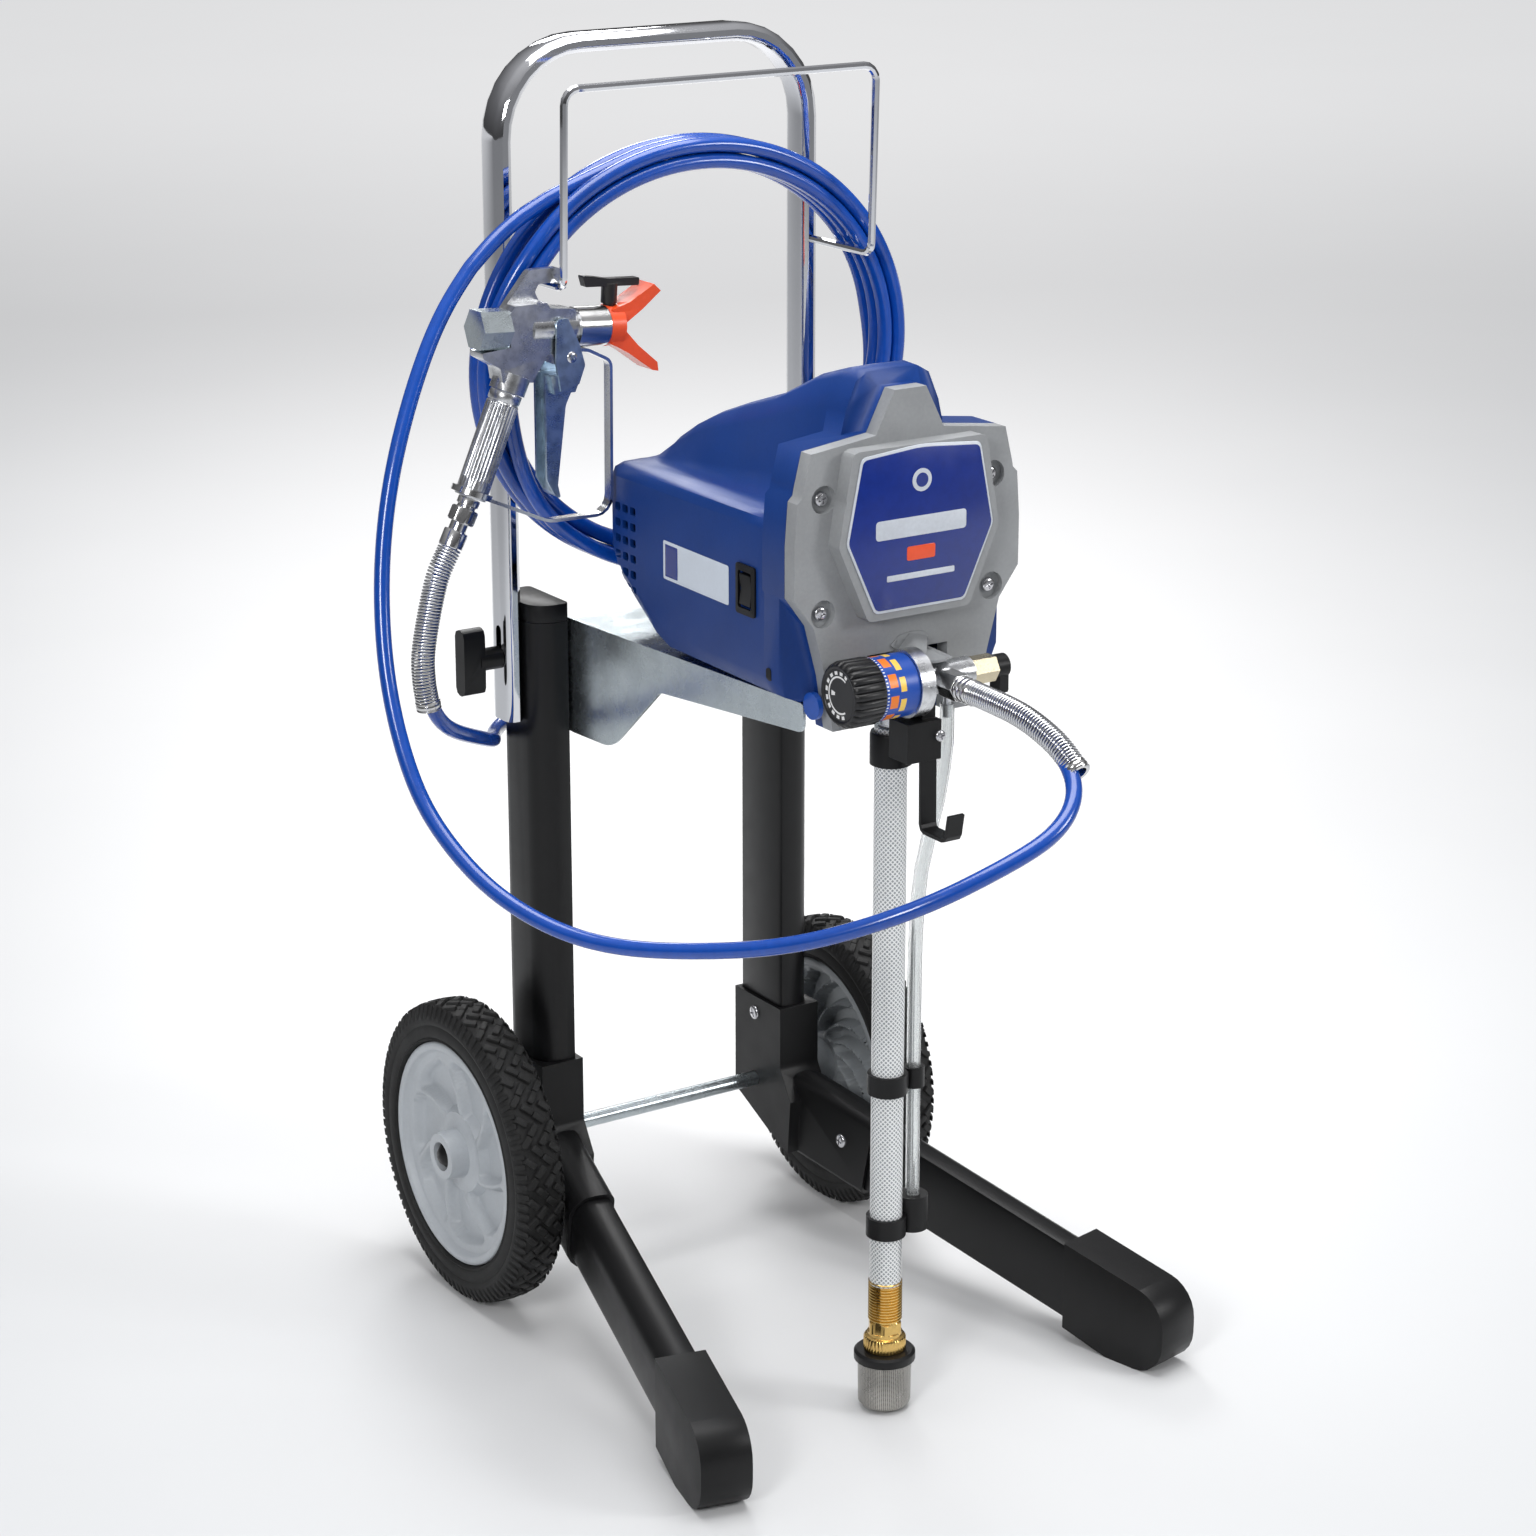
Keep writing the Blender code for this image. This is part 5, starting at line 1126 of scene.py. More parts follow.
@dataclass
class Hose:
    """The paint hose from the pump, through its coil on the rack, to the gun."""

    radius: float = 0.006
    length: float = 7.62
    pitch: float = 0.0126
    inner_x: float = 0.1740
    inner_z: float = 0.1524
    coil_y: float = -0.063
    coil_z: float = 0.7817
    start_angle: float = 118.0
    end_angle: float = -48.0
    turns: int = 5
    guard_radius: float = 0.0093
    wire_radius: float = 0.00095
    pump_guard: tuple = (
        (0.0060, -0.4168, 0.5950), (0.0064, -0.4450, 0.5950), (0.0099, -0.4850, 0.5905), (0.0137, -0.5180, 0.5788),
        (0.0154, -0.5420, 0.5630),
    )
    loop: tuple = (
        (0.0155, -0.5436, 0.5620), (0.0143, -0.5500, 0.5577), (0.0005, -0.5600, 0.5480), (-0.0209, -0.5700, 0.5325),
        (-0.0585, -0.5700, 0.5210), (-0.0944, -0.5580, 0.5034), (-0.1313, -0.5370, 0.4852),
        (-0.1906, -0.4750, 0.4542), (-0.2525, -0.3620, 0.4310), (-0.2850, -0.3050, 0.4395),
        (-0.3040, -0.2550, 0.4580), (-0.3160, -0.2200, 0.4862), (-0.3210, -0.1900, 0.5115),
        (-0.3200, -0.1500, 0.5730), (-0.3110, -0.1230, 0.6420), (-0.2950, -0.1070, 0.7125),
        (-0.2660, -0.0920, 0.7820), (-0.2280, -0.0770, 0.8440), (-0.1920, -0.0700, 0.8780),
        (-0.1570, -0.0660, 0.9020), (-0.1220, -0.0640, 0.9175),
    )
    gun_guard: tuple = (
        (-0.2385, -0.0980, 0.6680), (-0.2515, -0.0980, 0.6420), (-0.2633, -0.0980, 0.5940),
        (-0.2642, -0.0980, 0.5670), (-0.2606, -0.0980, 0.5440),
    )
    tail: tuple = (
        (-0.2596, -0.0975, 0.5400), (-0.2540, -0.0940, 0.5290), (-0.2276, -0.0800, 0.5150),
        (-0.1939, -0.0550, 0.4983), (-0.1600, -0.0220, 0.4815), (-0.1480, 0.0120, 0.4740),
        (-0.1260, 0.0400, 0.4725), (-0.0900, 0.0520, 0.4830), (-0.0450, 0.0460, 0.5120),
        (0.0000, 0.0220, 0.5480), (0.0350, -0.0100, 0.5880), (0.0600, -0.0340, 0.5980),
    )

    def coil_point(self, total: float) -> Vector:
        """A point of the coil's centre line.

        Args:
            total: the angle in degrees from where the coil starts.

        Returns:
            The point.
        """
        slots = list(Slot)
        turn = int(total // 360)
        within = total - 360 * turn
        leave = 300.0 - 48.0 * turn
        share = min(1.0, max(0.0, (within - leave) / 40.0)) if turn < len(slots) - 1 else 0.0
        share = share * share * (3 - 2 * share)
        here = slots[min(turn, len(slots) - 1)].value
        after = slots[min(turn + 1, len(slots) - 1)].value
        column = here[0] + (after[0] - here[0]) * share
        row = here[1] + (after[1] - here[1]) * share
        angle = math.radians(self.start_angle - total)
        out = row * self.pitch
        return spot(
            (self.inner_x + out) * math.cos(angle),
            self.coil_y + column * self.pitch,
            self.coil_z + (self.inner_z + out) * math.sin(angle),
        )

    def centre_line(self) -> list[Vector]:
        """The whole hose's centre line, from the pump to the gun."""
        first = smooth_route([spot(*p) for p in (*self.pump_guard[:-1], *self.loop[1:])], 0.006)
        sweep = self.start_angle - self.end_angle + 360.0 * self.turns
        count = round(sweep / 2.5)
        coil = [self.coil_point(sweep * index / count) for index in range(count + 1)]
        back = [spot(*p) for p in reversed((*self.gun_guard[:-1], *self.tail[1:]))]
        join_in = smooth_route([first[-4], first[-1], coil[2], coil[5]], 0.006)
        last = smooth_route(back, 0.006)
        join_out = smooth_route([coil[-5], coil[-1], last[1], last[4]], 0.006)
        whole = [*first[:-4], *join_in, *coil[6:-5], *join_out, *last[5:]]
        clean = [whole[0]]
        for point in whole[1:]:
            if (point - clean[-1]).length > 0.0025:
                clean.append(point)
        return self.eased(clean, 34)

    def eased(self, points: list[Vector], rounds: int) -> list[Vector]:
        """The line with its tight bends opened, as a stiff hose opens them.

        Args:
            points: the centre line.
            rounds: how many times each point moves towards its neighbours.

        Returns:
            The new centre line, with the same ends.
        """
        coil = [abs(p.x) < 0.205 and p.z > 0.612 and abs(p.y - AXLE_Y - self.coil_y) < 0.016 for p in points]
        for _ in range(rounds):
            moved = [point.copy() for point in points]
            for index in range(3, len(points) - 3):
                if not coil[index]:
                    moved[index] = points[index] * 0.5 + (points[index - 1] + points[index + 1]) * 0.25
            points = moved
        return points

    def guard(self, name: str, knots: Sequence[Sequence[float]], node: str, body: Body) -> bpy.types.Object:
        """A close-wound spring over the hose.

        Args:
            name: the piece's name.
            knots: the spring's axis.
            node: the CAD node that it stands for.
            body: what it rides on.

        Returns:
            The piece.
        """
        route = smooth_route([spot(*p) for p in knots], 0.004)
        wire = helix(route, self.guard_radius - self.wire_radius, 0.00245)
        return piece(name, tube(wire, self.wire_radius, 6), SPRING_STEEL, body, [node], 60.0)

    def ferrule(self, name: str, start: Vector, toward: Vector, length: float, body: Body) -> bpy.types.Object:
        """A crimped sleeve round the hose.

        Args:
            name: its name.
            start: the middle of its first end.
            toward: a place that it points at.
            length: its length.
            body: what it rides on.

        Returns:
            The piece.
        """
        out = self.guard_radius + 0.0004
        profile = [(self.radius + 0.0002, 0.0), (out - 0.0006, 0.0), (out, 0.0008)]
        crimps = max(1, round(length / 0.005))
        for crimp in range(crimps):
            middle = length * (crimp + 0.5) / crimps
            profile += [(out, middle - 0.0011), (out - 0.0007, middle), (out, middle + 0.0011)]
        profile += [(out, length - 0.0008), (out - 0.0006, length), (self.radius + 0.0002, length)]
        return piece(name, turned(profile, start, toward - start, 40, closed=True), TURNED, body)

    def swivel(self) -> bpy.types.Object:
        """The swivel under the gun's grip: a collar, a hexagon and its neck."""
        top, end = spot(-0.2208, -0.098, 0.7028), spot(*self.gun_guard[0])
        length = (end - top).length
        profile = [
            (0.0060, 0.0), (0.0082, 0.0002), (0.0086, 0.0012), (0.0086, 0.0058), (0.0072, 0.0066), (0.0072, 0.0082),
            (0.0094, 0.0086), (0.0104, 0.0096), (0.0104, 0.0190), (0.0094, 0.0200), (0.0068, 0.0204),
            (0.0068, length - 0.0125), (0.0090, length - 0.0120), (0.0094, length - 0.0110), (0.0094, length),
            (0.0060, length),
        ]

        def hexagonal(angle: float, radius: float, along: float) -> float:
            """Six flats on the nut."""
            if 0.0083 < along < 0.0203:
                face = (angle % (math.pi / 3)) - math.pi / 6
                return min(radius, 0.0092 / math.cos(face))
            return radius

        return piece("gun_swivel_shown", turned(profile, top, end - top, 72, hexagonal), TURNED, Body.HANDLE,
                     ["gun_swivel"], 28.0)

    def build(self) -> None:
        """Makes the hose, its two guards and their ends."""
        pump = self.guard("pump_guard_spring", self.pump_guard, "pump_spring_guard", Body.CART)
        gun = self.guard("gun_guard_spring", self.gun_guard, "gun_spring_guard", Body.HANDLE)
        ends = [self.swivel()]
        crimped = (("pump_ferrule", self.pump_guard, Body.CART), ("gun_ferrule", self.gun_guard, Body.HANDLE))
        for name, knots, body in crimped:
            first, after = spot(*knots[0]), spot(*knots[1])
            last, before = spot(*knots[-1]), spot(*knots[-2])
            if body is Body.CART:
                ends.append(self.ferrule(name, first, after, 0.015, body))
            out = (last - before).normalized()
            ends.append(self.ferrule(f"{name}_end", last - out * 0.007, last, 0.0075, body))
        path = self.centre_line()
        hose = piece(
            "hose", tube(path, self.radius, 14), HOSE_JACKET, Body.CART,
            ["hose_loop", "hose_coil", "hose_tail"], 60.0, ride=False,
        )
        spot(0, -0.55, 0.5)
        spot(0, -0.125, 0.5)
        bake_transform(hose)
        measured = sum((b - a).length for a, b in zip(path, path[1:]))
        LOG.info("hose: %.3f m along its centre line", measured)


# ---- Wheels --------------------------------------------------------------------------------
@dataclass
class Wheel:
    """One wheel: a moulded spoked hub and a semi-pneumatic tyre with a block tread."""

    side: Side
    track: float = 0.1818
    axle_height: float = 0.127
    tyre_radius: float = 0.127
    tyre_half: float = 0.021
    rim_radius: float = 0.094
    tread_rows: int = 4
    tread_count: int = 46
    tread_height: float = 0.0030
    pockets: int = 7
    pocket_depth: float = 0.0095
    socket_depth: float = 0.0090

    @property
    def body(self) -> Body:
        """What the wheel rides on."""
        return Body.WHEEL_LEFT if self.side is Side.LEFT else Body.WHEEL_RIGHT

    def on_tyre(self, angle: float, across: float, height: float) -> Vector:
        """A place on the tyre.

        Args:
            angle: round the axle.
            across: sideways from the tyre's middle.
            height: above the carcass's crown.

        Returns:
            The place.
        """
        share = abs(across) / self.tyre_half
        drop = 0.0022 * share**2 + 0.0095 * max(0.0, share - 0.70) ** 2 / 0.09
        radius = self.tyre_radius - self.tread_height - drop + height
        return spot(
            self.side.value * self.track + across,
            radius * math.cos(angle),
            self.axle_height + radius * math.sin(angle),
        )

    def block(self, angle: float, across: float, long: float, wide: float, turn: float) -> bmesh.types.BMesh:
        """One raised tread block, whose foot spreads a little.

        Args:
            angle: its middle round the axle.
            across: its middle across the tyre.
            long: its length.
            wide: its width.
            turn: how far it is turned from straight across.

        Returns:
            The mesh.
        """
        rings = []
        for height, spread in ((-0.0006, 1.10), (self.tread_height * 0.85, 1.0), (self.tread_height, 0.90)):
            ring = []
            for u, v in box_outline(long / 2 * spread, wide / 2 * spread, wide * 0.22, 2):
                side = u * math.cos(turn) - v * math.sin(turn) + across
                ahead = u * math.sin(turn) + v * math.cos(turn)
                side = max(-self.tyre_half + 0.0002, min(self.tyre_half - 0.0002, side))
                ring.append(self.on_tyre(angle + ahead / self.tyre_radius, side, height))
            rings.append(ring)
        return skin(rings)

    def tyre(self) -> None:
        """Carcass, ribbed side walls, tread blocks and shoulder lugs."""
        half = self.tyre_half
        bead = self.rim_radius + 0.0006
        crown = []
        for index in range(13):
            across = -half + 2 * half * index / 12
            place = self.on_tyre(0.0, across, 0.0)
            crown.append((place.y - AXLE_Y, across))
        wall = [
            (0.1095, 0.0), (0.1080, -0.0008), (0.1062, -0.0002),
            (0.1000, 0.0006), (0.0978, -0.0006), (0.0962, 0.0004),
        ]
        profile = [(bead, -half + 0.004), *[(r, -half - g + 0.0008) for r, g in reversed(wall)]]
        profile += [*crown, *[(r, half + g - 0.0008) for r, g in wall], (bead, half - 0.004)]
        centre = spot(self.side.value * self.track, 0.0, self.axle_height)
        parts = [turned(profile, centre, Vector((1, 0, 0)), 96, closed=True)]
        for row in range(self.tread_rows):
            across = (row - (self.tread_rows - 1) / 2) * 0.0078
            for index in range(self.tread_count):
                angle = 2 * math.pi * (index + 0.5 * (row % 2)) / self.tread_count
                turn = math.radians(45 if (index + row) % 2 else -45)
                parts.append(self.block(angle, across, 0.0108, 0.0052, turn))
        for side in (-1, 1):
            for index in range(self.tread_count * 2):
                angle = 2 * math.pi * (index + 0.25) / (self.tread_count * 2)
                parts.append(self.block(angle, side * (half - 0.0024), 0.0052 if index % 2 else 0.0040, 0.0044, 0.0))
        piece(f"tyre_{self.side.word}_shown", joined(parts), TYRE_RUBBER, self.body, [f"tyre_{self.side.word}"], 40.0)

    def face(self, angle: float, radius: float, outside: bool) -> float:
        """How far the hub's face is sunk at a place.

        Args:
            angle: round the axle.
            radius: from it.
            outside: whether it is the outer face.

        Returns:
            The depth below the rim's edge.
        """
        def step(low: float, high: float, value: float) -> float:
            """A smooth rise from 0 at low to 1 at high."""
            share = min(1.0, max(0.0, (value - low) / (high - low)))
            return share * share * (3 - 2 * share)

        count = self.pockets if outside else self.pockets * 2
        sweep = 0.55 if outside else 0.95
        lean = angle + sweep * (radius - 0.030) / 0.055 * (1 if outside else -1)
        phase = (lean * count / (2 * math.pi)) % 1.0
        edge = abs(phase - 0.5) * 2
        arc = radius * 2 * math.pi / count
        vane = 0.0038 / arc if outside else 0.0026 / arc
        inside = 1 - step(1 - 3.2 * vane, 1 - 1.1 * vane, edge)
        ends = step(0.0335, 0.0385, radius) * (1 - step(0.0735, 0.0790, radius))
        if outside:
            tip = 1 - step(0.60, 1.0, edge * step(0.060, 0.078, radius) * 1.25)
            pocket = inside * ends * tip
            ditch = step(0.040, 0.030, radius) * step(0.0215, 0.028, radius)
            dish = 0.0060 * step(0.0875, 0.0845, radius) + 0.0030 * ditch
            return dish + self.pocket_depth * pocket
        return 0.004 * step(0.088, 0.084, radius) + 0.012 * inside * step(0.026, 0.032, radius) * (
            1 - step(0.078, 0.082, radius))

    def hub(self) -> None:
        """The moulded centre, both faces, and its cap's socket; the inner face has a darker copy of the grey as painted
        shade.
        """
        centre = spot(self.side.value * self.track, 0.0, self.axle_height)
        low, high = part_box(f"wheel_rim_{self.side.word}")
        outer = max(abs(low.x), abs(high.x)) - self.track
        inner = self.track - min(abs(low.x), abs(high.x))
        sign = self.side.value
        steps = 252
        radii = [0.0070, 0.0116, 0.0122, 0.0128, 0.0190, 0.0198, 0.0210, 0.0260]
        radii += [0.0285 + 0.0026 * index for index in range(21)]
        radii += [0.0838, 0.0850, 0.0865, 0.0880, 0.0900, 0.0920, 0.0934]

        def ring(radius: float, outside: bool) -> list[Vector]:
            """One ring of the hub's face.

            Args:
                radius: from the axle.
                outside: whether it is the outer face.

            Returns:
                Its points.
            """
            out = []
            for index in range(steps):
                angle = 2 * math.pi * index / steps
                depth = self.face(angle, radius, outside)
                edge = 0.0190 if outside else min(inner, 0.0190)
                along = edge - depth
                if outside and radius < 0.0120:
                    along = outer - self.socket_depth
                elif radius < 0.0195:
                    along = (outer if outside else inner) - 0.0004
                elif radius < 0.0205:
                    along = (outer if outside else inner) - 0.0030
                if radius > 0.0930:
                    along -= 0.0010
                x = along * sign if outside else -along * sign
                out.append(centre + Vector((x, radius * math.cos(angle), radius * math.sin(angle))))
            return out

        faces = [ring(radius, True) for radius in radii]
        rim = [
            [centre + Vector((sign * x, r * math.cos(2 * math.pi * i / steps), r * math.sin(2 * math.pi * i / steps)))
             for i in range(steps)]
            for x, r in ((0.0170, 0.0938), (-0.0170, 0.0938))
        ]
        backs = [ring(radius, False) for radius in reversed(radii)]
        made = piece(
            f"hub_{self.side.word}_shown", skin([*faces, *rim, *backs], closed=True, caps=False), HUB_GREY, self.body,
            [f"wheel_rim_{self.side.word}"], 50.0,
        )
        # The inner face gets the darker copy of the grey, as painted shade.
        made.data.materials.append(material_of(HUB_GREY_PAINTED_SHADE))
        for polygon in made.data.polygons:
            if (polygon.center.x - centre.x) * sign < 0.002:
                polygon.material_index = 1

    def build(self) -> None:
        """Makes the wheel."""
        self.tyre()
        self.hub()


# ---- Casing trim ---------------------------------------------------------------------------
def wall_of(node: str) -> BVHTree:
    """The CAD node's surface, for rays.

    Args:
        node: the node.

    Returns:
        Its faces.
    """
    mesh = bmesh.new()
    mesh.from_mesh(FRAME["nodes"][node].data)
    tree = BVHTree.FromBMesh(mesh)
    mesh.free()
    return tree


def patch(
    wall: BVHTree, outline: Outline, origin: Vector, turn: Matrix, lift: float, thick: float = 0.0004
) -> bmesh.types.BMesh:
    """A thin sheet that lies on a wall.

    Args:
        wall: the wall.
        outline: the sheet's edge on the turn's first two axes.
        origin: a place outside the wall, over the outline's zero.
        turn: axes whose third points out of the wall.
        lift: how far its underside is off the wall.
        thick: its thickness.

    Returns:
        The mesh.
    """
    inward = -(turn @ Vector((0, 0, 1)))
    rings = []
    for share, height in ((1.0, 0.0), (1.0, 0.7), (0.985, 1.0), (0.75, 1.0), (0.5, 1.0), (0.25, 1.0), (0.02, 1.0)):
        ring = []
        for u, v in outline:
            start = origin + turn @ Vector((u * share, v * share, 0.0))
            hit = wall.ray_cast(start, inward, 0.08)[0]
            base = hit if hit is not None else start + inward * 0.01
            ring.append(base - inward * (lift + thick * height))
        rings.append(ring)
    return skin(rings)


def carve(target: bpy.types.Object, cutters: Iterable[bmesh.types.BMesh]) -> None:
    """Cuts shapes out of a piece.

    Args:
        target: the piece.
        cutters: closed shapes.
    """
    data = bpy.data.meshes.new("cutter")
    mesh = joined(cutters)
    mesh.to_mesh(data)
    mesh.free()
    cutter = bpy.data.objects.new("cutter", data)
    bpy.context.scene.collection.objects.link(cutter)
    cut = target.modifiers.new("cut", "BOOLEAN")
    cut.operation = "DIFFERENCE"
    cut.object = cutter
    bpy.context.view_layer.update()
    graph = bpy.context.evaluated_depsgraph_get()
    result = bpy.data.meshes.new_from_object(target.evaluated_get(graph))
    target.modifiers.remove(cut)
    target.data = result
    bpy.data.objects.remove(cutter)


@dataclass
class Casing:
    """The blue case and its grey front: vents, switch surround, sticker, panel and screws."""

    slot_rows: int = 6
    slot_columns: int = 3
    panel: tuple = (
        (-0.0525, 0.7640, 0.006), (0.0, 0.7685, 0.12), (0.0525, 0.7640, 0.006), (0.0650, 0.7020, 0.010),
        (0.0400, 0.6470, 0.006), (-0.0400, 0.6470, 0.006), (-0.0650, 0.7020, 0.010),
    )
    front: float = -0.3702
    screws: int = 4

    def shell(self) -> None:
        """The blue case, with a grid of slots at both rear corners and across the back."""
        made = carried("rear_shroud", BLUE_CASE)
        cutters = []
        for side in Side:
            for column in range(self.slot_columns):
                for row in range(self.slot_rows):
                    place = spot(side.value * 0.100, -0.1015 - 0.0115 * column, 0.6180 + 0.0125 * row)
                    turn = axes_on(Vector((side.value, 0, 0)))
                    cutters.append(slab(box_outline(0.0042, 0.0032, 0.0018, 3), place - turn @ Vector((0, 0, 0.012)),
                                        turn, 0.024))
        for column in range(7):
            for row in range(self.slot_rows):
                place = spot(-0.054 + 0.018 * column, -0.080, 0.6180 + 0.0125 * row)
                turn = axes_on(Vector((0, 1, 0)))
                cutters.append(slab(box_outline(0.0062, 0.0032, 0.0018, 3), place - turn @ Vector((0, 0, 0.014)),
                                    turn, 0.018))
        carve(made, cutters)
        made.data.set_sharp_from_angle(angle=math.radians(32))

    def sides(self) -> None:
        """The switch's surround and a plain sticker on the left, and below it an oval sheet painted black as the shade
        of an opening.
        """
        wall = wall_of("rear_shroud")
        turn = Matrix((Vector((0, -1, 0)), Vector((0, 0, 1)), Vector((-1, 0, 0)))).transposed()
        at = spot(-0.130, -0.290, 0.656)
        outer = box_outline(0.0128, 0.0190, 0.0030)
        inner = box_outline(0.0088, 0.0140, 0.0020)
        surface = wall.ray_cast(at + turn @ Vector((0.0115, 0, 0)), Vector((1, 0, 0)), 0.08)[0]
        rings = [
            [Vector((surface.x - lift, 0, 0)) + Vector((0, at.y - u, at.z + v)) for u, v in outline]
            for outline, lift in ((outer, -0.0005), (outer, 0.0016), (inner, 0.0022), (inner, -0.0005))
        ]
        piece("switch_surround", skin(rings, closed=True), BLACK_PLASTIC, Body.CART, angle=30.0)
        label = spot(-0.130, -0.218, 0.6535)
        piece("side_sticker", patch(wall, box_outline(0.047, 0.0150, 0.0020), label, turn, 0.0001, 0.0003), STICKER,
              Body.CART)
        band = spot(-0.130, -0.183, 0.6535)
        piece("sticker_band", patch(wall, box_outline(0.0090, 0.0125, 0.0010), band, turn, 0.0004, 0.0002), PANEL_BLUE,
              Body.CART)
        # An oval sheet painted black: painted shade standing for an opening in the case.
        oval = spot(-0.130, -0.3200, 0.5990)
        shade_sheet = patch(wall, box_outline(0.0032, 0.0050, 0.0031), oval, turn, 0.0001, 0.0006)
        piece("case_plug", shade_sheet, PAINTED_SHADE_GAP, Body.CART)

    def front_panel(self) -> None:
        """The blue panel in its pale border, with plain bars and no words, and the lobed plate below."""
        turn = Matrix((Vector((-1, 0, 0)), Vector((0, 0, 1)), Vector((0, -1, 0)))).transposed()
        origin = spot(0.0, self.front, 0.7050)
        border = [(-u, v - 0.7050) for u, v in rounded(self.panel, 6)]
        piece("panel_border", slab(border, origin, turn, 0.0009, 0.0003), PANEL_RIM, Body.CART)
        inner = [(u * 0.975, v * 0.965) for u, v in border]
        piece("panel_face", slab(inner, origin, turn, 0.0012, 0.0002), PANEL_BLUE, Body.CART)
        top = origin + turn @ Vector((0, 0, 0.0011))
        bars = [
            ("panel_bar", box_outline(0.0400, 0.0072, 0.0030), 0.0035, PANEL_RIM),
            ("panel_accent", box_outline(0.0125, 0.0052, 0.0018), -0.0165, GUARD_ORANGE),
            ("panel_line", box_outline(0.0300, 0.0022, 0.0010), -0.0330, PANEL_RIM),
        ]
        for name, outline, height, finish in bars:
            piece(name, slab(outline, top + Vector((0, 0, height)), turn, 0.0004, 0.00015), finish, Body.CART)
        mark = [(0.0085 * math.cos(a), 0.0085 * math.sin(a)) for a in (2 * math.pi * i / 40 for i in range(40))]
        small = [(u * 0.62, v * 0.62) for u, v in mark]
        discs = (("panel_disc", mark, 0.0, PANEL_RIM), ("panel_disc_eye", small, 0.0002, PANEL_BLUE))
        for name, outline, lift, finish in discs:
            piece(name, slab(outline, top + Vector((0, -lift, 0.0370)), turn, 0.0004), finish, Body.CART)
        wall = wall_of("front_cover")
        plate = spot(0.003, -0.400, 0.6170)
        lobes = []
        for index in range(60):
            angle = 2 * math.pi * index / 60
            wave = 1 + 0.07 * math.cos(6 * angle)
            lobes.append((0.0175 * wave * math.cos(angle), 0.0078 * math.sin(angle)))
        piece("lobed_plate", patch(wall, lobes, plate, turn, 0.0001, 0.0012), COVER_GREY, Body.CART)
        for index, aside in enumerate((-0.0105, 0.0, 0.0105)):
            ring = turned([(0.0040, 0.0), (0.0044, 0.0008), (0.0036, 0.0008), (0.0034, 0.0)],
                          self.on_cover(wall, 0.003 + aside, 0.6170), Vector((0, -1, 0)), 28, closed=True)
            piece(f"plate_ring_{index + 1}", ring, COVER_GREY, Body.CART)

    def on_cover(self, wall: BVHTree, x: float, z: float) -> Vector:
        """Where the cover's front is, 1 mm out."""
        hit = wall.ray_cast(spot(x, -0.400, z), Vector((0, 1, 0)), 0.08)[0]
        return (hit or spot(x, -0.3565, z)) + Vector((0, -0.0010, 0))

    def fasteners(self) -> None:
        """Four pan-head screws, each with a cross slot, in the cover's pockets."""
        for index in range(self.screws):
            node = f"cover_screw_{index + 1}"
            low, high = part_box(node)
            centre = Vector(((low.x + high.x) / 2, low.y, (low.z + high.z) / 2))
            pan_screw(f"{node}_shown", centre, Vector((0, -1, 0)), (high.x - low.x) / 2, Body.CART, [node], 0.3 + index)

    def build(self) -> None:
        """Makes all of it."""
        self.shell()
        carried("front_cover", COVER_GREY, 0.0006)
        self.sides()
        self.front_panel()
        self.fasteners()


def pan_screw(
    name: str, top: Vector, axis: Vector, radius: float, body: Body, replaces: Sequence[str] = (), spin: float = 0.0
) -> bpy.types.Object:
    """A pan-head screw with a cross slot, and a washer's edge under it.

    Args:
        name: its name.
        top: the middle of its crown.
        axis: the way it faces.
        radius: its head's radius.
        body: what it rides on.
        replaces: the CAD nodes that it stands for.
        spin: how far its slot is turned.

    Returns:
        The piece.
    """
    profile = [
        (radius, -0.0042), (radius, -0.0020), (radius * 0.97, -0.0013), (radius * 0.85, -0.0006),
        (radius * 0.6, -0.0002), (radius * 0.3, -0.00005), (radius * 0.05, 0.0),
    ]
    made = piece(name, turned(profile, top, axis, 36), STEEL, body, replaces, 50.0)
    turn = axes_on(axis) @ Matrix.Rotation(spin, 3, "Z")
    long, thin = radius * 0.60, radius * 0.13
    for wide, tall in ((long, thin), (thin, long)):
        floor = top + turn @ Vector((0, 0, -0.0018))
        carve(made, [slab(box_outline(wide, tall, radius * 0.05, 2), floor, turn, 0.004)])
    return made


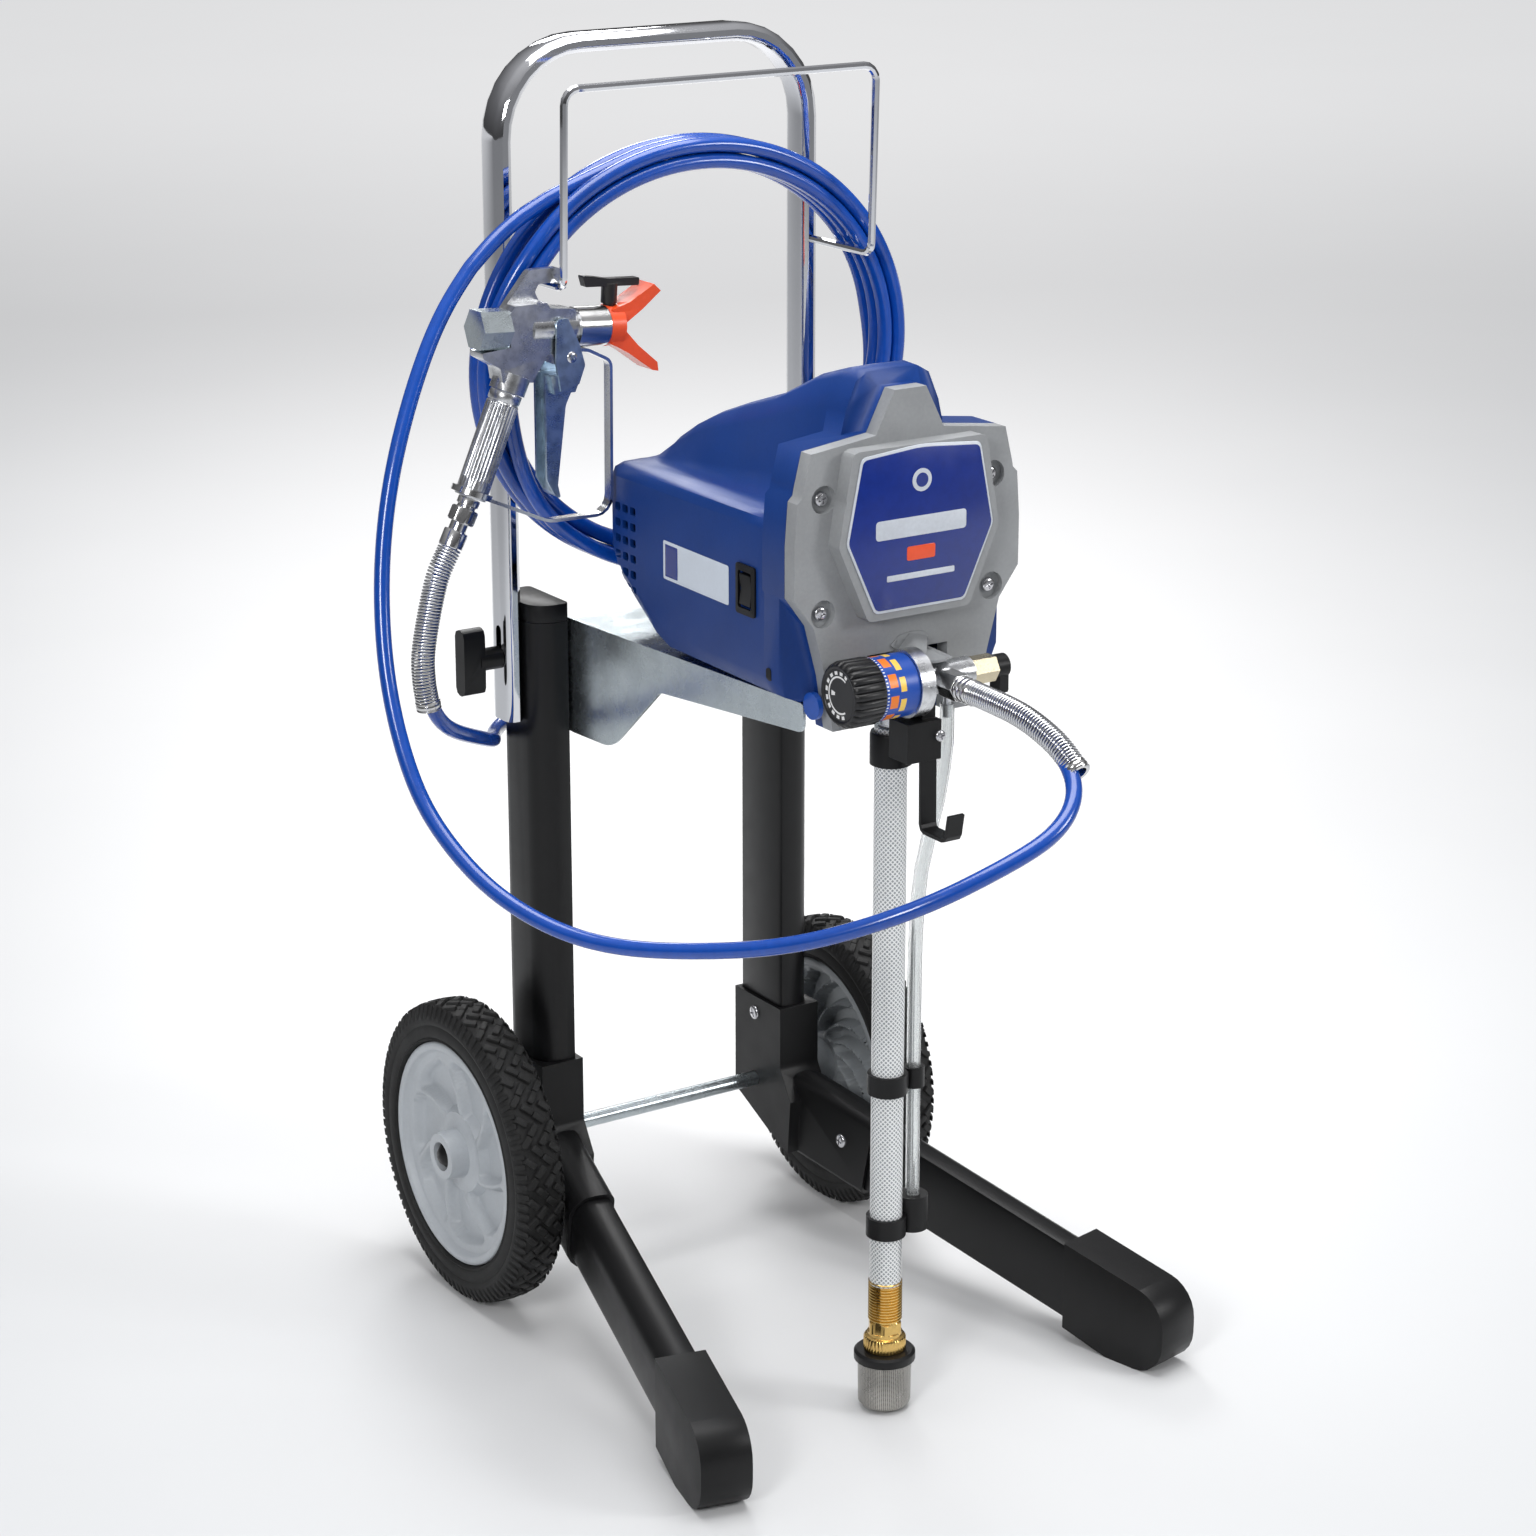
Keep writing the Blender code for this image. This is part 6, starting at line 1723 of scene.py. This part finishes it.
# ---- Hydraulics ----------------------------------------------------------------------------
@dataclass
class Hydraulics:
    """The pressure knob and the suction tube's clamp."""

    ahead: float = -0.383
    height: float = 0.5955
    knob_radius: float = 0.0250
    knob_ribs: int = 24

    def knob(self) -> None:
        """The ribbed pressure knob, with a sunk face."""
        low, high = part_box("pressure_knob")
        length = high.x - low.x
        out = self.knob_radius
        profile = [
            (out - 0.0010, 0.0), (out, 0.0012), (out, length - 0.0050), (out - 0.0010, length - 0.0022),
            (out - 0.0030, length - 0.0002), (out - 0.0042, length), (out - 0.0052, length - 0.0004),
            (out - 0.0058, length - 0.0012), (0.0100, length - 0.0013), (0.0004, length - 0.0013),
        ]

        def ribbed(angle: float, radius: float, along: float) -> float:
            """Round ribs along the side, none on the face."""
            if radius < out - 0.0025 or along < 0.0008:
                return radius
            wave = abs(math.sin(angle * self.knob_ribs / 2))
            return radius - 0.0019 * (1 - wave) ** 1.6

        centre = Vector((high.x, AXLE_Y + self.ahead, self.height))
        piece("pressure_knob_shown", turned(profile, centre, Vector((-1, 0, 0)), 288, ribbed), KNOB_FACE, Body.DIAL,
              ["pressure_knob"], 40.0)

    def clamp(self) -> None:
        """The black clamp at the top of the suction tube."""
        low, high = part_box("suction_tube")
        centre = Vector(((low.x + high.x) / 2, (low.y + high.y) / 2, high.z))
        ring = turned(
            [(0.0129, -0.030), (0.0158, -0.0290), (0.0158, -0.006), (0.0150, -0.004), (0.0129, -0.004)],
            centre, Vector((0, 0, 1)), 48, closed=True,
        )
        piece("suction_clamp", ring, BLACK_PLASTIC, Body.CART)

    def build(self) -> None:
        """Makes all of it."""
        self.knob()
        self.clamp()


# ---- Frame fasteners -----------------------------------------------------------------------
@dataclass
class Fasteners:
    """The screws that hold the posts and legs in the elbows."""

    places: tuple = ((-0.0006, 0.188), (-0.102, 0.100))

    def build(self) -> None:
        """Makes them on the inner side of both elbows."""
        for side in Side:
            sign = side.value
            for index, (y, z) in enumerate(self.places):
                wall = wall_of(f"elbow_{side.word}")
                start = spot(sign * 0.02, y, z)
                hit = wall.ray_cast(start, Vector((sign, 0, 0)), 0.2)[0]
                if hit is None:
                    continue
                pan_screw(f"elbow_screw_{side.word}_{index + 1}", hit + Vector((-sign * 0.0024, 0, 0)),
                          Vector((-sign, 0, 0)), 0.0062, Body.CART, spin=0.4 + index)


# ---- Suction set ---------------------------------------------------------------------------
@dataclass
class Suction:
    """The brass fitting, the strainer under it and the screw of the hook's block."""

    def build(self) -> None:
        """Makes all of it."""
        low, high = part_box("suction_fitting")
        base = Vector(((low.x + high.x) / 2, (low.y + high.y) / 2, low.z))
        tall = high.z - low.z
        wide = (high.x - low.x) / 2
        profile = [
            (0.0100, 0.0), (wide - 0.0006, 0.0), (wide, 0.0008), (wide, 0.0105), (wide - 0.0008, 0.0115),
            (wide - 0.0030, 0.0125), (wide - 0.0030, 0.0150), (0.0135, 0.0156), (0.0135, 0.0236), (0.0118, 0.0246),
        ]
        along = 0.0252
        while along < tall - 0.012:
            profile += [(0.0118, along), (0.0132, along + 0.0008), (0.0132, along + 0.0014), (0.0118, along + 0.0022)]
            along += 0.0024
        profile += [(0.0116, tall - 0.0100), (0.0124, tall - 0.0090), (0.0124, tall - 0.0010), (0.0112, tall)]

        def shaped(angle: float, radius: float, height: float) -> float:
            """A knurled foot under a hexagon."""
            if 0.0006 < height < 0.0108:
                return radius - 0.0005 * (0.5 + 0.5 * math.cos(angle * 40))
            if 0.0152 < height < 0.0240:
                face = (angle % (math.pi / 3)) - math.pi / 6
                return min(radius, 0.0122 / math.cos(face))
            return radius

        piece("suction_fitting_shown", turned(profile, base, Vector((0, 0, 1)), 160, shaped), BRASS, Body.CART,
              ["suction_fitting"], 30.0)
        basket = carried("strainer", STRAINER_MESH)
        basket.data.materials.append(material_of(BLACK_PLASTIC))
        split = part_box("strainer")[1].z - 0.0125
        for polygon in basket.data.polygons:
            polygon.material_index = 1 if polygon.center.z > split else 0
        pan_screw("hook_screw", spot(0.0, -0.4004, 0.5560), Vector((0, -1, 0)), 0.0044, Body.CART, spin=0.2)


# ---- Spray gun -----------------------------------------------------------------------------
@dataclass
class Gun:
    """The cast body, its fluted grip and its pivot screw."""

    plane: float = -0.098
    top: tuple[float, float] = (-0.1830, 0.7900)
    low: tuple[float, float] = (-0.2207, 0.7030)
    flutes: int = 26

    def grip(self) -> None:
        """A fluted handle with plain ends."""
        top = spot(self.top[0], self.plane, self.top[1])
        low = spot(self.low[0], self.plane, self.low[1])
        axis = (low - top).normalized()
        start = top + axis * 0.0112
        length = (low - start).length
        profile = [
            (0.0090, 0.0), (0.0121, 0.0002), (0.0125, 0.0010), (0.0125, 0.0070), (0.0117, 0.0080), (0.0125, 0.0092),
            (0.0125, 0.0100), (0.0125, length - 0.0150), (0.0125, length - 0.0135), (0.0125, length - 0.0010),
            (0.0121, length - 0.0002), (0.0090, length),
        ]

        def fluted(angle: float, radius: float, along: float) -> float:
            """Grooves between the plain ends."""
            if 0.0095 < along < length - 0.0140:
                wave = 0.5 + 0.5 * math.cos(angle * self.flutes)
                return radius - 0.0010 * (1 - wave) ** 2
            return radius

        piece("gun_grip_shown", turned(profile, start, axis, 208, fluted), ALUMINIUM, Body.HANDLE, ["gun_grip"], 40.0)

    def body(self) -> None:
        """The casting, with a plated cap at the back and a turned nut at the front."""
        made = carried("gun_body", ALUMINIUM, 0.0010)
        made.data.materials.append(material_of(ZINC))
        made.data.materials.append(material_of(TURNED))
        for polygon in made.data.polygons:
            x = polygon.center.x
            off = abs(polygon.center.y - AXLE_Y - self.plane)
            if x < -0.1905 and polygon.center.z > 0.8140:
                polygon.material_index = 1
            elif x > -0.1305 and (off > 0.0101 or polygon.center.z < 0.838):
                polygon.material_index = 2

    def build(self) -> None:
        """Makes all of it."""
        self.body()
        self.grip()
        carried("trigger", TRIGGER_BLUE, 0.0008)
        carried("trigger_guard", TURNED, 0.0004)
        carried("tip_guard", GUARD_ORANGE, 0.0016)
        carried("spray_tip", TIP_BLACK, 0.0006)
        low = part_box("trigger")[0]
        pin = Vector((-0.1385, low.y - 0.0011, 0.8030))
        pan_screw("trigger_pin_head", pin, Vector((0, -1, 0)), 0.0046, Body.TRIGGER, spin=0.7)


# ---- Everything else that keeps its CAD shape ----------------------------------------------
@dataclass
class Carried:
    """Pieces whose CAD shape is shown, with their finishes and eased edges."""

    shapes: Mapping[str, tuple[Finish, float]] = field(default_factory=lambda: {
        "post_left": (BLACK_COAT, 0.0), "post_right": (BLACK_COAT, 0.0),
        "leg_left": (BLACK_COAT, 0.0), "leg_right": (BLACK_COAT, 0.0),
        "post_cap_left": (BLACK_PLASTIC, 0.0008), "post_cap_right": (BLACK_PLASTIC, 0.0008),
        "elbow_left": (BLACK_PLASTIC, 0.0008), "elbow_right": (BLACK_PLASTIC, 0.0008),
        "foot_left": (BLACK_PLASTIC, 0.0010), "foot_right": (BLACK_PLASTIC, 0.0010),
        "axle": (ZINC, 0.0), "hub_cap_left": (BLACK_PLASTIC, 0.0), "hub_cap_right": (BLACK_PLASTIC, 0.0),
        "shelf_bracket": (ZINC, 0.0004), "handle_hoop": (CHROME, 0.0), "hose_rack": (CHROME, 0.0),
        "clamp_knob_left": (KNOB_PLASTIC, 0.0010), "clamp_knob_right": (KNOB_PLASTIC, 0.0010),
        "cord_inlet": (BLACK_PLASTIC, 0.0005),
        "pump_housing": (ALUMINIUM, 0.0004), "pressure_scale": (SCALE_PRINT, 0.0),
        "prime_valve": (VALVE_BRASS, 0.0002), "prime_lever": (BLACK_PLASTIC, 0.0005), "outlet_nut": (TURNED, 0.0003),
        "suction_tube": (BRAIDED, 0.0),
        "drain_tube": (CLEAR_TUBE, 0.0),
        "tube_clip_upper": (BLACK_PLASTIC, 0.0), "tube_clip_lower": (BLACK_PLASTIC, 0.0),
        "pail_hook": (BLACK_PLASTIC, 0.0004), "power_rocker": (KNOB_PLASTIC, 0.0004),
        "push_prime_button": (BUTTON_BLUE, 0.0004), "motor_can": (STEEL, 0.0), "motor_rotor": (STEEL, 0.0),
        "drive_gear": (BRASS, 0.0), "pump_piston": (TURNED, 0.0),
    })

    def build(self) -> None:
        """Makes each of them."""
        for node, (finish, edge) in self.shapes.items():
            carried(node, finish, edge)


def main() -> None:
    """Builds the scene in order."""
    logging.basicConfig(level=logging.INFO, format="%(name)s %(message)s")
    random.seed(7)
    Studio().build()
    Hose().build()
    for side in Side:
        Wheel(side).build()
    Casing().build()
    Hydraulics().build()
    Fasteners().build()
    Suction().build()
    Gun().build()
    Carried().build()
    bpy.context.view_layer.update()


if __name__ == "__main__":
    main()
